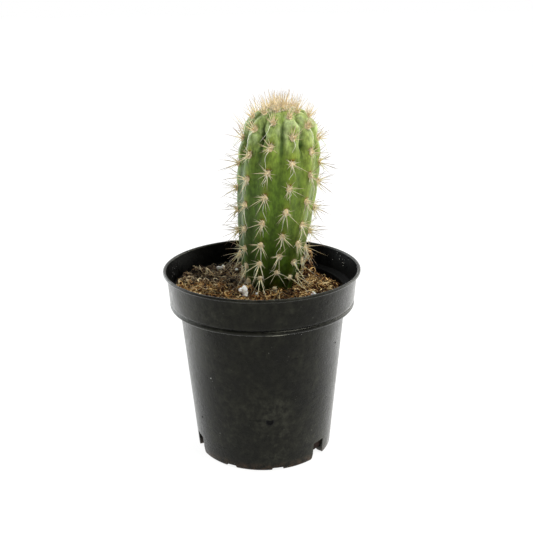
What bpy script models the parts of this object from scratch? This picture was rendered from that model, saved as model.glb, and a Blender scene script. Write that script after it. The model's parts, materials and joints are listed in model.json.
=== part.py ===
"""Potted columnar cactus: a ribbed, spiny stem in a black plastic nursery pot of coir soil.

Metres, +Z up. The origin is the centre of the pot's foot, on the surface that the pot stands on.
"""
import math
import random

import bmesh
import bpy
from mathutils import Vector

MM = 0.001
GAP = 0.3 * MM

# Driving dimensions of the pot
LIP_RADIUS = 52.5 * MM
POT_HEIGHT = 102.1 * MM
POT_SIDES = 64
BEAD = 1.1 * MM
COLLAR_TOP_RADIUS = 50.6 * MM
COLLAR_WALL = 1.6 * MM
COLLAR_FOOT = 82.0 * MM
GROOVE_HEIGHT = 84.9 * MM
GROOVE_RADIUS = 48.9 * MM
GROOVE_HALF = 0.5 * MM
SHOULDER_RADIUS = 49.4 * MM
SHOULDER_ROUND = 1.3 * MM
WALL_TOP_RADIUS = 44.4 * MM
WALL_FOOT_RADIUS = 37.0 * MM
WALL = 1.2 * MM
FOOT_ROUND = 1.2 * MM
FOOT_RING = 2.6 * MM
FOOT_HEIGHT = 1.5 * MM
FLOOR_TOP = 3.0 * MM
FLOOR_FILLET = 1.4 * MM
LEDGE = 90.6 * MM
LEDGE_RISE = 0.6 * MM

# Gaps in the foot ring: nine, even, every third one a tall drain notch
FOOT_GAPS = 9
FIRST_GAP_DEGREES = 11.0
FOOT_GAP_WIDTH = 6.2 * MM
NOTCH_WIDTH = 8.4 * MM
NOTCH_HEIGHT = 10.0 * MM
NOTCH_FLARE = 2.2 * MM
NOTCH_ROUND = 4.4 * MM
GAP_INNER_RADIUS = 32.5 * MM
CUT_MARGIN = 1.0 * MM

# Soil: its level at the pot's axis, its fall to the right, and the mound round the stem
SOIL_LEVEL = 89.6 * MM
SOIL_TILT = -0.07
SOIL_MOUND = 1.6 * MM
SOIL_MOUND_SPREAD = 18.0 * MM
SOIL_RELIEF = 0.9 * MM
SOIL_SIDES = 48
SOIL_RINGS = 9
SOIL_WALL_GAP = 0.45 * MM
SOIL_EDGE = 0.4 * MM
CRUMBS = 16
CRUMB_SIZES = (1.6 * MM, 3.4 * MM)
CRUMB_REACH = 39.0 * MM

# A clump of coir against the stem's right side, as lumps: across, back, height and half size
CLUMP = [(20.2, 8.5, 90, 5.2), (21.6, 8.8, 95, 4.5), (22.9, 9.0, 100, 3.9), (23.9, 9.2, 105, 3.2)]

# Stem: where it stands, how it leans, and its outline as height and radius over the rib crests
STEM_BACK = 1.5 * MM
LEAN = [(68, 3.6), (90, 4.2), (130, 7.35), (165, 10.0), (188, 10.4)]
OUTLINE = [(70, 8.6), (76, 10.3), (90, 11.6), (99, 14.4), (109, 16.7), (124, 18.9), (139, 20.4),
           (153, 21.0), (165, 20.5), (174, 18.7), (180, 15.8), (184, 11.2), (186, 5.6), (186.6, 0)]
STEM_FLOOR = 68.5 * MM
STEM_HOLE_RADIUS = 13.0 * MM
RIBS = 11
RIB_AZIMUTH = 14.5
RIB_TWIST = 0.14
TWIST_CENTRE = 143.0
TWIST_END = 108.0
GROOVE_DEPTH = [(70, 0.3), (92, 0.9), (110, 1.5), (145, 2.3), (165, 3.3), (179, 4.6), (184, 3.6), (186.6, 0)]
GROOVE_LIMIT = 0.75
GROOVE_POWER = 1.4
TUBERCLE = 0.55 * MM
SAMPLES_PER_RIB = 4
STEM_ROWS = 30

# Areoles and spines
AREOLE_STEP = 12.8 * MM
AREOLE_STEP_LOW = 8.8 * MM
AREOLE_STEP_HEIGHTS = (98.0 * MM, 128.0 * MM)
RIB_PHASE = 0.40
AREOLE_RADIUS = 1.35 * MM
AREOLE_RISE = 0.75 * MM
AREOLE_SUNK = 0.6 * MM
FIRST_AREOLE = 6.0 * MM
LOWEST_AREOLE = 96.0 * MM
CROWN_START = 170.0 * MM
CROWN_DEPTH = 12.0 * MM
SPINE_RADIUS = 0.27 * MM
SPINE_ROOT_DEPTH = 0.9 * MM
SOIL_CLEARANCE = 3.2 * MM
SPINE_CLEARANCE = 0.8 * MM

# A spine's place round its areole: angle from straight up, rise from the skin, length
SPINE_FAN = [(38, 50, 7.5), (90, 28, 9.5), (140, 30, 9.5), (182, 53, 15.2), (226, 30, 9.5), (284, 32, 9.0)]
CROWN_LIFT = 18
CROWN_SHORTENING = 0.2
TUFT_SPINES = 18
TUFT_RADIUS = 6.0 * MM
TUFT_LENGTH = 9.0 * MM
TUFT_ROOT_DEPTH = 1.4 * MM
TUFT_SPREAD = 0.5

# Perlite: place across and back, and size
PERLITE = [(-22.9, 24.5, 3.4), (-14.2, 22.6, 2.4), (-9.6, -16.4, 5.2), (-3.0, -14.4, 2.2),
           (27.0, -10.3, 3.6), (14.0, 27.0, 3.4), (6.0, 31.0, 2.8)]


def clear_scene():
    for obj in list(bpy.data.objects):
        bpy.data.objects.remove(obj, do_unlink=True)


def material(name, color, roughness):
    mat = bpy.data.materials.new(name)
    mat.use_nodes = True
    shader = mat.node_tree.nodes["Principled BSDF"]
    shader.inputs["Base Color"].default_value = (*color, 1.0)
    shader.inputs["Roughness"].default_value = roughness
    shader.inputs["Metallic"].default_value = 0.0
    return mat


def add_object(name, mesh_builder, mat=None, collection=None):
    mesh = bpy.data.meshes.new(name)
    bmesh.ops.recalc_face_normals(mesh_builder, faces=mesh_builder.faces)
    mesh_builder.to_mesh(mesh)
    mesh_builder.free()
    if mat is not None:
        mesh.materials.append(mat)
    obj = bpy.data.objects.new(name, mesh)
    (collection or bpy.context.scene.collection).objects.link(obj)
    return obj


def smooth_curve(points, x):
    """Smooth value at x on a curve through the points (x, y), with no overshoot at its ends."""
    if x <= points[0][0]:
        return points[0][1]
    if x >= points[-1][0]:
        return points[-1][1]
    k = next(i for i in range(len(points) - 1) if x <= points[i + 1][0])
    (x0, y0), (x1, y1) = points[k], points[k + 1]
    slopes = []
    for i in (k, k + 1):
        before = points[max(i - 1, 0)]
        after = points[min(i + 1, len(points) - 1)]
        slopes.append((after[1] - before[1]) / (after[0] - before[0]))
    t = (x - x0) / (x1 - x0)
    width = x1 - x0
    return ((2 * t ** 3 - 3 * t ** 2 + 1) * y0 + (t ** 3 - 2 * t ** 2 + t) * width * slopes[0]
            + (3 * t ** 2 - 2 * t ** 3) * y1 + (t ** 3 - t ** 2) * width * slopes[1])


def turned(profile, sides):
    """A closed body turned round Z from a profile of (radius, height) that runs from axis to axis."""
    bm = bmesh.new()
    rings = []
    for radius, height in profile:
        if radius == 0:
            rings.append([bm.verts.new((0, 0, height))])
            continue
        ring = []
        for i in range(sides):
            angle = 2 * math.pi * i / sides
            ring.append(bm.verts.new((radius * math.cos(angle), radius * math.sin(angle), height)))
        rings.append(ring)
    for low, high in zip(rings[:-1], rings[1:]):
        for i in range(sides):
            j = (i + 1) % sides
            corners = [low[i % len(low)], low[j % len(low)], high[j % len(high)], high[i % len(high)]]
            bm.faces.new(list(dict.fromkeys(corners)))
    return bm


def boolean(obj, operation, collection, solver="EXACT"):
    """Applies one Boolean between obj and all objects of a collection, which are then removed."""
    modifier = obj.modifiers.new(operation.lower(), "BOOLEAN")
    modifier.operation = operation
    modifier.solver = solver
    modifier.operand_type = "COLLECTION"
    modifier.collection = collection
    depsgraph = bpy.context.evaluated_depsgraph_get()
    mesh = bpy.data.meshes.new_from_object(obj.evaluated_get(depsgraph))
    obj.modifiers.clear()
    old = obj.data
    obj.data = mesh
    bpy.data.meshes.remove(old)
    mesh.name = obj.name
    for other in list(collection.objects):
        bpy.data.objects.remove(other, do_unlink=True)
    bpy.data.collections.remove(collection)


def new_collection(name):
    collection = bpy.data.collections.new(name)
    bpy.context.scene.collection.children.link(collection)
    return collection


def shade(obj, degrees):
    obj.data.shade_smooth()
    obj.data.set_sharp_from_angle(angle=math.radians(degrees))


# Pot

def pot_inner_radius(height):
    """Radius of the pot's inside at a height above its floor."""
    taper = (WALL_TOP_RADIUS - WALL_FOOT_RADIUS) / (COLLAR_FOOT - FOOT_HEIGHT)
    return WALL_FOOT_RADIUS + taper * (height - FOOT_HEIGHT) - WALL


def arc(centre, radius, first, last, steps):
    """Points of an arc in the profile plane, in degrees from straight outwards."""
    points = []
    for k in range(steps + 1):
        angle = math.radians(first + (last - first) * k / steps)
        points.append((centre[0] + radius * math.cos(angle), centre[1] + radius * math.sin(angle)))
    return points


def pot_profile():
    """The pot's outside from its floor up to the lip, with the collar as a skirt, then its inside."""
    ring_inside = WALL_FOOT_RADIUS - FOOT_ROUND - FOOT_RING
    underside = [(0, FOOT_HEIGHT), (ring_inside - GAP, FOOT_HEIGHT), (ring_inside, 0)]
    foot = arc((WALL_FOOT_RADIUS - FOOT_ROUND, FOOT_ROUND), FOOT_ROUND, -90, 0, 2)
    shoulder_centre = (SHOULDER_RADIUS - SHOULDER_ROUND, COLLAR_FOOT + SHOULDER_ROUND)
    slot_top = LEDGE - WALL
    skirt_inside = SHOULDER_RADIUS - COLLAR_WALL
    slot = [
        (pot_inner_radius(slot_top) + WALL, slot_top),
        (skirt_inside, slot_top + GAP),
        (skirt_inside, COLLAR_FOOT + SHOULDER_ROUND / 2),
    ]
    shoulder = arc(shoulder_centre, SHOULDER_ROUND, -90, 45, 3)
    groove = [(GROOVE_RADIUS, GROOVE_HEIGHT), (GROOVE_RADIUS + GROOVE_HALF, GROOVE_HEIGHT + GROOVE_HALF)]
    bead_centre = (LIP_RADIUS - BEAD, POT_HEIGHT - BEAD)
    lip = [(COLLAR_TOP_RADIUS, bead_centre[1] - BEAD)] + arc(bead_centre, BEAD, -45, 180, 5)
    inside = [
        (LIP_RADIUS - 2 * BEAD - GAP, bead_centre[1] - BEAD),
        (skirt_inside, LEDGE + LEDGE_RISE),
        (pot_inner_radius(LEDGE), LEDGE),
        (pot_inner_radius(FLOOR_TOP + FLOOR_FILLET), FLOOR_TOP + FLOOR_FILLET),
        (pot_inner_radius(FLOOR_TOP) - FLOOR_FILLET, FLOOR_TOP),
        (0, FLOOR_TOP),
    ]
    return underside + foot + slot + shoulder + groove + lip + inside


def radial_cutter(name, outline, near, far, degrees, collection):
    """A prism that runs outwards along a radius, with its outline given across and up."""
    bm = bmesh.new()
    angle = math.radians(degrees)
    out = Vector((math.sin(angle), -math.cos(angle), 0))
    across = Vector((math.cos(angle), math.sin(angle), 0))
    ends = []
    for reach in (near, far):
        ends.append([bm.verts.new(out * reach + across * x + Vector((0, 0, z))) for x, z in outline])
    count = len(outline)
    for i in range(count):
        j = (i + 1) % count
        bm.faces.new((ends[0][i], ends[0][j], ends[1][j], ends[1][i]))
    bm.faces.new(ends[0])
    bm.faces.new(ends[1])
    cutter = add_object(name, bm, collection=collection)
    cutter.hide_render = True
    cutter.display_type = "WIRE"


def notch_outline():
    """A drain notch seen from outside: straight sides, with the foot's corners rounded beside it."""
    half = NOTCH_WIDTH / 2
    side = [(half + NOTCH_FLARE, -CUT_MARGIN)]
    for k in range(4):
        angle = math.radians(30 * k)
        side.append((half + NOTCH_FLARE * (1 - math.sin(angle)), NOTCH_ROUND * (1 - math.cos(angle))))
    side.append((half, NOTCH_HEIGHT))
    return side + [(-x, z) for x, z in reversed(side)]


def gap_outline():
    """A low gap in the foot ring, as high as the ring."""
    half = FOOT_GAP_WIDTH / 2
    return [(half, -CUT_MARGIN), (half, FOOT_HEIGHT), (-half, FOOT_HEIGHT), (-half, -CUT_MARGIN)]


def build_pot(mat):
    pot = add_object("pot", turned(pot_profile(), POT_SIDES), mat)
    cutters = new_collection("pot_cutters")
    for k in range(FOOT_GAPS):
        degrees = FIRST_GAP_DEGREES + k * 360 / FOOT_GAPS
        outline = notch_outline() if k % 3 == 1 else gap_outline()
        radial_cutter(f"gap_{k}", outline, GAP_INNER_RADIUS, LIP_RADIUS, degrees, cutters)
    boolean(pot, "DIFFERENCE", cutters)
    shade(pot, 32)
    return pot


# Soil

def stem_axis(height):
    """Centre of the stem at a height."""
    return Vector((smooth_curve(LEAN, height / MM) * MM, STEM_BACK, height))


def soil_height(x, y):
    """Height of the soil's surface: lower on the right, mounded round the stem, even at the wall."""
    centre = stem_axis(SOIL_LEVEL)
    reach = math.hypot(x - centre.x, y - centre.y)
    mound = SOIL_MOUND * math.exp(-(reach / SOIL_MOUND_SPREAD) ** 2)
    u, v = x / MM, y / MM
    relief = math.sin(u * 0.31 + 1.0) * math.cos(v * 0.27) + 0.6 * math.sin(u * 0.52 - v * 0.47 + 2.0)
    relief *= max(1 - (math.hypot(x, y) / WALL_TOP_RADIUS) ** 4, 0)
    return SOIL_LEVEL + SOIL_TILT * x + mound + SOIL_RELIEF * relief


def soil_edge(out):
    """The soil's edge in one direction: against the wall, and out over the ledge where it is high enough."""
    wall = pot_inner_radius(LEDGE) - SOIL_WALL_GAP
    level = soil_height(out.x * wall, out.y * wall)
    foot = min(LEDGE, level - 2 * SOIL_EDGE)
    wall = pot_inner_radius(foot) - SOIL_WALL_GAP
    spill = min(max((level - LEDGE - LEDGE_RISE - SOIL_EDGE) / SOIL_RELIEF, 0), 1)
    radius = wall + spill * (SHOULDER_RADIUS - COLLAR_WALL - SOIL_WALL_GAP - wall)
    height = foot + max(spill * (LEDGE + LEDGE_RISE + GAP - foot), SOIL_EDGE)
    top = max(soil_height(out.x * radius, out.y * radius), height + SOIL_EDGE)
    return [(wall, foot), (radius, height), (radius, top)]


def soil_rings():
    """Rings of the soil's skin: up its side, in across its surface, then down the stem's hole."""
    stem = stem_axis(SOIL_LEVEL)
    floor = [
        (pot_inner_radius(FLOOR_TOP) - FLOOR_FILLET - SOIL_WALL_GAP, FLOOR_TOP + GAP),
        (pot_inner_radius(FLOOR_TOP + FLOOR_FILLET) - SOIL_WALL_GAP, FLOOR_TOP + FLOOR_FILLET + GAP),
    ]
    spokes = []
    for i in range(SOIL_SIDES):
        angle = 2 * math.pi * i / SOIL_SIDES
        out = Vector((math.cos(angle), math.sin(angle), 0))
        side = floor + soil_edge(out)
        spoke = [out * radius + Vector((0, 0, height)) for radius, height in side]
        edge = spoke[-1]
        hole = Vector((stem.x, stem.y, 0)) + out * STEM_HOLE_RADIUS
        for k in range(1, SOIL_RINGS + 1):
            spot = edge.lerp(hole, k / SOIL_RINGS)
            spot.z = soil_height(spot.x, spot.y)
            spoke.append(spot)
        spoke.append(Vector((hole.x, hole.y, STEM_FLOOR - GAP)))
        spokes.append(spoke)
    return list(zip(*spokes))


def build_soil(mat):
    """The soil down to the pot's floor, with a plain hole for the stem, crumbs and the clump."""
    bm = bmesh.new()
    rings = [[bm.verts.new(point) for point in ring] for ring in soil_rings()]
    for low, high in zip(rings[:-1], rings[1:]):
        for i in range(SOIL_SIDES):
            j = (i + 1) % SOIL_SIDES
            bm.faces.new((low[i], low[j], high[j], high[i]))
    bm.faces.new(rings[0])
    bm.faces.new(rings[-1])
    bmesh.ops.triangulate(bm, faces=bm.faces)
    soil = add_object("soil", bm, mat)

    crumbs = new_collection("soil_crumbs")
    stem = stem_axis(SOIL_LEVEL)
    rng = random.Random(11)
    placed = 0
    while placed < CRUMBS:
        angle = rng.uniform(0, 2 * math.pi)
        reach = CRUMB_REACH * math.sqrt(rng.random())
        x, y = reach * math.cos(angle), reach * math.sin(angle)
        size = rng.uniform(*CRUMB_SIZES)
        near_stem = math.hypot(x - stem.x, y - stem.y) < STEM_HOLE_RADIUS + 2 * size
        near_grain = any(math.hypot(x - gx * MM, y - gy * MM) < size + wide * MM for gx, gy, wide in PERLITE)
        if near_stem or near_grain:
            continue
        half_sizes = (size, size * 0.85, size * 0.6)
        lump(f"crumb_{placed}", Vector((x, y, soil_height(x, y))), half_sizes, rng, 1, crumbs)
        placed += 1
    for across, back, height, half in CLUMP:
        half_sizes = (half * 0.8 * MM, half * 0.8 * MM, half * MM)
        lump(f"clump_{height}", Vector((across, back, height)) * MM, half_sizes, rng, 2, crumbs)
    boolean(soil, "UNION", crumbs, solver="MANIFOLD")
    shade(soil, 60)
    return soil


def lump(name, centre, size, rng, levels, collection=None, mat=None):
    """An uneven rounded lump with the given half sizes."""
    bm = bmesh.new()
    bmesh.ops.create_icosphere(bm, subdivisions=levels, radius=1.0)
    turn = rng.uniform(0, math.pi)
    for vert in bm.verts:
        swell = 1 + rng.uniform(-0.16, 0.12)
        x, y, z = vert.co * swell
        x, y = x * math.cos(turn) - y * math.sin(turn), x * math.sin(turn) + y * math.cos(turn)
        vert.co = centre + Vector((x * size[0], y * size[1], z * size[2]))
    return add_object(name, bm, mat, collection)


def build_perlite(mat):
    """White grains that rest on the soil, each its own piece."""
    rng = random.Random(5)
    for k, (x, y, size) in enumerate(PERLITE):
        half = size / 2 * MM
        steps = (-half, 0, half)
        under = max(soil_height(x * MM + across, y * MM + back) for across in steps for back in steps)
        centre = Vector((x * MM, y * MM, under + half * 0.8 + GAP))
        grain = lump(f"perlite_grain_{k + 1}", centre, (half, half * 0.85, half * 0.72), rng, 2, mat=mat)
        shade(grain, 60)


# Cactus

def outline_table():
    """The stem's outline over its crests as many short steps: (length along it, height, radius)."""
    table = []
    length = 0.0
    previous = None
    steps_per_stretch = 24
    for (z0, _), (z1, _) in zip(OUTLINE[:-1], OUTLINE[1:]):
        for k in range(steps_per_stretch):
            z = z0 + (z1 - z0) * k / steps_per_stretch
            point = (z * MM, smooth_curve(OUTLINE, z) * MM)
            if previous is not None:
                length += math.hypot(point[0] - previous[0], point[1] - previous[1])
            table.append((length, *point))
            previous = point
    top = (OUTLINE[-1][0] * MM, 0.0)
    length += math.hypot(top[0] - previous[0], top[1] - previous[1])
    table.append((length, *top))
    return table


OUTLINE_TABLE = outline_table()
OUTLINE_LENGTH = OUTLINE_TABLE[-1][0]


def outline_at(length):
    """Height and crest radius at a length along the outline."""
    for before, after in zip(OUTLINE_TABLE[:-1], OUTLINE_TABLE[1:]):
        if length <= after[0]:
            t = (length - before[0]) / max(after[0] - before[0], 1e-9)
            return before[1] + (after[1] - before[1]) * t, before[2] + (after[2] - before[2]) * t
    return OUTLINE_TABLE[-1][1:]


def rib_azimuth(rib, height):
    """Direction of a rib's crest in radians, from the front towards the right."""
    twist = RIB_TWIST * (max(height / MM, TWIST_END) - TWIST_CENTRE)
    return math.radians(RIB_AZIMUTH + twist + rib * 360 / RIBS)


def areole_lengths(rib):
    """Lengths along the outline at which a rib's areoles sit, from the crown down."""
    turn = rib if rib <= RIBS // 2 else rib - RIBS
    phase = (-RIB_PHASE * turn) % 1.0
    length = OUTLINE_LENGTH - FIRST_AREOLE - phase * AREOLE_STEP
    lengths = []
    while True:
        height, _ = outline_at(length)
        if height < LOWEST_AREOLE:
            return lengths
        lengths.append(length)
        low, high = AREOLE_STEP_HEIGHTS
        share = min(max((height - low) / (high - low), 0), 1)
        length -= AREOLE_STEP_LOW + (AREOLE_STEP - AREOLE_STEP_LOW) * share


def stem_point(azimuth, length, groove=0.0, swell=0.0):
    """A point of the skin: groove is 0 on a crest and 1 in a groove, swell stands a crest out."""
    height, radius = outline_at(length)
    depth = smooth_curve(GROOVE_DEPTH, height / MM) * MM
    reach = max(radius - groove * min(depth, radius * GROOVE_LIMIT) + swell, 0)
    centre = stem_axis(height)
    return centre + Vector((reach * math.sin(azimuth), -reach * math.cos(azimuth), 0))


def build_stem(name, mat):
    """The ribbed stem with its buried foot, as one closed skin."""
    bm = bmesh.new()
    areoles = [areole_lengths(rib) for rib in range(RIBS)]
    rows = []
    for row in range(STEM_ROWS):
        length = OUTLINE_LENGTH * (row / STEM_ROWS)
        height, _ = outline_at(length)
        verts = []
        for i in range(RIBS * SAMPLES_PER_RIB):
            rib, sample = divmod(i, SAMPLES_PER_RIB)
            phase = 2 * math.pi * sample / SAMPLES_PER_RIB
            groove = ((1 - math.cos(phase)) / 2) ** GROOVE_POWER
            azimuth = rib_azimuth(rib, height) + phase / RIBS
            nearest = min(abs(length - a) for a in areoles[rib])
            swell = TUBERCLE * math.cos(math.pi * min(nearest / (AREOLE_STEP / 2), 1)) * (1 - groove)
            verts.append(bm.verts.new(stem_point(azimuth, length, groove, -swell)))
        rows.append(verts)
    apex = bm.verts.new(stem_axis(OUTLINE[-1][0] * MM))
    count = RIBS * SAMPLES_PER_RIB
    for low, high in zip(rows[:-1], rows[1:]):
        for i in range(count):
            j = (i + 1) % count
            bm.faces.new((low[i], low[j], high[j], high[i]))
    for i in range(count):
        bm.faces.new((rows[-1][i], rows[-1][(i + 1) % count], apex))
    bm.faces.new(rows[0])
    bmesh.ops.triangulate(bm, faces=bm.faces)
    return add_object(name, bm, mat)


def needle(name, root, direction, length, radius, collection):
    """A three-sided spine with its root under the skin."""
    bm = bmesh.new()
    side = direction.orthogonal().normalized()
    other = direction.cross(side)
    ring = []
    for k in range(3):
        angle = 2 * math.pi * k / 3
        ring.append(bm.verts.new(root + radius * (math.cos(angle) * side + math.sin(angle) * other)))
    tip = bm.verts.new(root + direction * length)
    bm.faces.new(ring)
    for k in range(3):
        bm.faces.new((ring[k], ring[(k + 1) % 3], tip))
    add_object(name, bm, collection=collection)


def pad(name, centre, normal, up, collection):
    """An areole: a low five-sided cushion."""
    bm = bmesh.new()
    across = up.cross(normal).normalized()
    base = centre - normal * AREOLE_SUNK
    ring = []
    for k in range(5):
        angle = 2 * math.pi * k / 5
        ring.append(bm.verts.new(base + AREOLE_RADIUS * (math.cos(angle) * across + math.sin(angle) * up)))
    top = bm.verts.new(centre + normal * AREOLE_RISE)
    bm.faces.new(ring)
    for k in range(5):
        bm.faces.new((ring[k], ring[(k + 1) % 5], top))
    add_object(name, bm, collection=collection)


def touches_soil(point):
    """Whether a point is near the soil, its crumbs or the clump of coir."""
    if point.z < soil_height(point.x, point.y) + SOIL_CLEARANCE:
        return True
    return any((point - Vector(part[:3]) * MM).length < part[3] * MM + SPINE_CLEARANCE for part in CLUMP)


def clear_of_soil(root, direction, length, azimuth):
    """Turns a spine up and towards the front until it stays off the soil and the clump."""
    forward = Vector((-math.cos(azimuth), -math.sin(azimuth), 0))
    for _ in range(40):
        if not any(touches_soil(root + direction * length * share) for share in (0.4, 0.6, 0.8, 1.0)):
            break
        direction = (direction + Vector((0, 0, 0.1)) + 0.08 * forward).normalized()
    return direction


def build_areole(name, rib, length, rng, growth):
    """One areole's cushion and its fan of spines, which stands up more towards the crown."""
    height, _ = outline_at(length)
    azimuth = rib_azimuth(rib, height)
    centre = stem_point(azimuth, length, swell=-TUBERCLE)
    up = (stem_point(azimuth, length + BEAD) - stem_point(azimuth, length - BEAD)).normalized()
    across = Vector((math.cos(azimuth), math.sin(azimuth), 0))
    normal = across.cross(up).normalized()
    pad(f"areole_{name}", centre, normal, up, growth)
    crown = min(max((height - CROWN_START) / CROWN_DEPTH, 0), 1)
    root = centre - normal * SPINE_ROOT_DEPTH
    for k, (turn, rise, reach) in enumerate(SPINE_FAN):
        turn = math.radians(turn + rng.uniform(-9, 9))
        rise = math.radians(rise + CROWN_LIFT * crown + rng.uniform(-6, 6))
        reach = reach * MM * rng.uniform(0.88, 1.08) * (1 - CROWN_SHORTENING * crown)
        flat = math.cos(turn) * up + math.sin(turn) * across
        direction = (math.cos(rise) * flat + math.sin(rise) * normal).normalized()
        direction = clear_of_soil(root, direction, reach, azimuth)
        needle(f"spine_{name}_{k}", root, direction, reach, SPINE_RADIUS, growth)


def build_tuft(rng, growth):
    """The upright spines of the crown, spread evenly round the growing point."""
    top = stem_axis(OUTLINE[-1][0] * MM)
    golden_angle = math.pi * (3 - math.sqrt(5))
    for k in range(TUFT_SPINES):
        share = math.sqrt((k + 0.5) / TUFT_SPINES)
        out = Vector((math.sin(k * golden_angle), -math.cos(k * golden_angle), 0))
        drop = TUFT_ROOT_DEPTH * (1 + share)
        root = top + out * share * TUFT_RADIUS - Vector((0, 0, drop))
        direction = (Vector((0, 0, 1)) + TUFT_SPREAD * share * out).normalized()
        needle(f"tuft_{k}", root, direction, TUFT_LENGTH * rng.uniform(0.85, 1.05), SPINE_RADIUS, growth)


def build_cactus(mat):
    cactus = build_stem("cactus", mat)
    growth = new_collection("areoles_and_spines")
    rng = random.Random(23)
    for rib in range(RIBS):
        for k, length in enumerate(areole_lengths(rib)):
            build_areole(f"{rib}_{k}", rib, length, rng, growth)
    build_tuft(rng, growth)
    boolean(cactus, "UNION", growth, solver="MANIFOLD")
    shade(cactus, 40)
    return cactus


def main():
    clear_scene()
    plastic = material("black_plastic", (0.028, 0.029, 0.026), 0.48)
    earth = material("coir_soil", (0.16, 0.085, 0.035), 0.95)
    skin = material("cactus_skin", (0.13, 0.24, 0.06), 0.5)
    white = material("perlite", (0.82, 0.81, 0.77), 0.9)
    build_pot(plastic)
    build_soil(earth)
    build_cactus(skin)
    build_perlite(white)


main()
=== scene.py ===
import json
import math

import bmesh
import bpy
import numpy as np
from mathutils import Matrix, Vector

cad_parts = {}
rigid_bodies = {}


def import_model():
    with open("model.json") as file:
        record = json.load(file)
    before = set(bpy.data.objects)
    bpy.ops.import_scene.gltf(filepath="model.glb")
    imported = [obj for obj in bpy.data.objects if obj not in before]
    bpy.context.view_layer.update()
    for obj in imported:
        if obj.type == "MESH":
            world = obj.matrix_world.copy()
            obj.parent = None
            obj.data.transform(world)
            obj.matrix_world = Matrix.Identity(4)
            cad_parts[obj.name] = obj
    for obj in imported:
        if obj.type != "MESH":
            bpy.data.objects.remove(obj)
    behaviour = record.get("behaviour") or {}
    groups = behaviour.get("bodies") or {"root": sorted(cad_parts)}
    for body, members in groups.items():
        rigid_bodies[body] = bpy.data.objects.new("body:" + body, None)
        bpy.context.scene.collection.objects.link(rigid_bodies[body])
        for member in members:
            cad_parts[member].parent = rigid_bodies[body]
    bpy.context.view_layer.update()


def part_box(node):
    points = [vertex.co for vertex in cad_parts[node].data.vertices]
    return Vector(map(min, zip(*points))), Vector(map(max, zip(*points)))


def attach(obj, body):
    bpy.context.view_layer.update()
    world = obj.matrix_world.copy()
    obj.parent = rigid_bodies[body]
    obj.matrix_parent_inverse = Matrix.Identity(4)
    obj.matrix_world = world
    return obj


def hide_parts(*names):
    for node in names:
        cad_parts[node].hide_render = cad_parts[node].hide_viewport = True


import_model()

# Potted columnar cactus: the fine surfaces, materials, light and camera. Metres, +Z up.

MM = 0.001
rng = np.random.default_rng(7)

# The photograph: its size and focal length in pixels, and where it was taken from
PHOTO_SIZE = 533
PHOTO_FOCAL = 868.95
CAMERA_PLACE = (0.0, -439.92 * MM, 247.64 * MM)
CAMERA_YAW = 0.005805
CAMERA_PITCH = 0.31998
CAMERA_ROLL = -0.0137

# Pot
LIP_RADIUS = 52.5
POT_HEIGHT = 102.1
COLLAR_FOOT = 82.0
COLLAR_TOP_RADIUS = 50.6
COLLAR_WALL = 1.6
GROOVE_HEIGHT = 84.9
GROOVE_RADIUS = 48.9
SHOULDER_RADIUS = 49.4
WALL_TOP_RADIUS = 44.4
WALL_FOOT_RADIUS = 37.0
WALL = 1.2
FOOT_HEIGHT = 1.5
FOOT_RING = 2.6
FLOOR_TOP = 3.0
LEDGE = 90.6
LEDGE_RISE = 0.6
POT_SIDES = 288

# Soil
SOIL_LEVEL = 89.6
SOIL_TILT = -0.07
SOIL_MOUND = 1.6
SOIL_MOUND_SPREAD = 18.0
SOIL_RELIEF = 0.9
BARE_LEDGE_MIDDLE = 158.0
BARE_LEDGE_SPREAD = 27.0
CLUMP = [(20.2, 8.5, 90, 5.2), (21.6, 8.8, 95, 4.5), (22.9, 9.0, 100, 3.9), (23.9, 9.2, 105, 3.2)]

# Stem
STEM_BACK = 1.5
LEAN = [(68, 3.6), (90, 4.2), (130, 7.35), (165, 10.0), (188, 10.4)]
OUTLINE = [(70, 8.6), (76, 10.3), (90, 11.6), (99, 14.4), (109, 16.7), (124, 18.9), (139, 20.4),
           (153, 21.0), (165, 20.5), (174, 18.7), (180, 15.8), (184, 11.2), (186, 5.6), (186.6, 0)]
GROOVE_DEPTH = [(70, 0.3), (92, 0.7), (110, 1.0), (150, 0.9), (160, 1.2), (166, 2.3), (172, 3.5), (178, 2.6),
                (184, 1.2), (186.6, 0)]
GROOVE_POWER = [(90, 1.2), (150, 1.3), (162, 2.0), (170, 4.0), (178, 6), (186, 6)]
FRONT_SKY = 0.12
SIDE_GLOW = 2.0
RIBS = 11
RIB_AZIMUTH = 14.5
RIB_TWIST = 0.14
TWIST_CENTRE = 143.0
TWIST_END = 108.0
AREOLE_HEIGHTS = {
    0: (93.4, 103.1, 112.1, 123.1, 136.1, 148.2, 160.7, 173.1, 182.8),
    1: (98.7, 107.4, 117.6, 127.9, 140.2, 153.6, 165.2, 177.6),
    2: (97.5, 106.0, 113.4, 122.1, 134.7, 148.4, 158.2, 170.6, 181.6),
    3: (94.5, 102.5, 111.5, 121.5, 133.5, 146.0, 158.5, 170.5, 181.0),
    4: (98.5, 107.0, 116.5, 127.5, 140.0, 152.5, 164.5, 176.0),
    5: (95.0, 103.0, 112.0, 122.5, 134.5, 147.0, 159.5, 171.5, 182.0),
    6: (99.5, 108.5, 118.0, 129.0, 141.5, 154.0, 166.0, 177.0),
    7: (96.0, 104.0, 113.0, 123.5, 135.5, 148.5, 161.0, 173.0, 182.8),
    8: (92.5, 100.5, 109.5, 122.3, 133.5, 145.2, 158.2, 171.3, 181.8),
    9: (96.5, 105.0, 114.8, 125.7, 138.5, 151.8, 164.4, 176.6),
    10: (99.5, 108.1, 118.2, 130.2, 143.8, 156.2, 168.8, 180.3),
}


def linear(red, green, blue):
    """A colour of 0 to 255 levels as the linear values that shaders and attributes hold."""
    levels = np.array([red, green, blue], float) / 255
    return np.where(levels <= 0.04045, levels / 12.92, ((levels + 0.055) / 1.055) ** 2.4)


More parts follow.
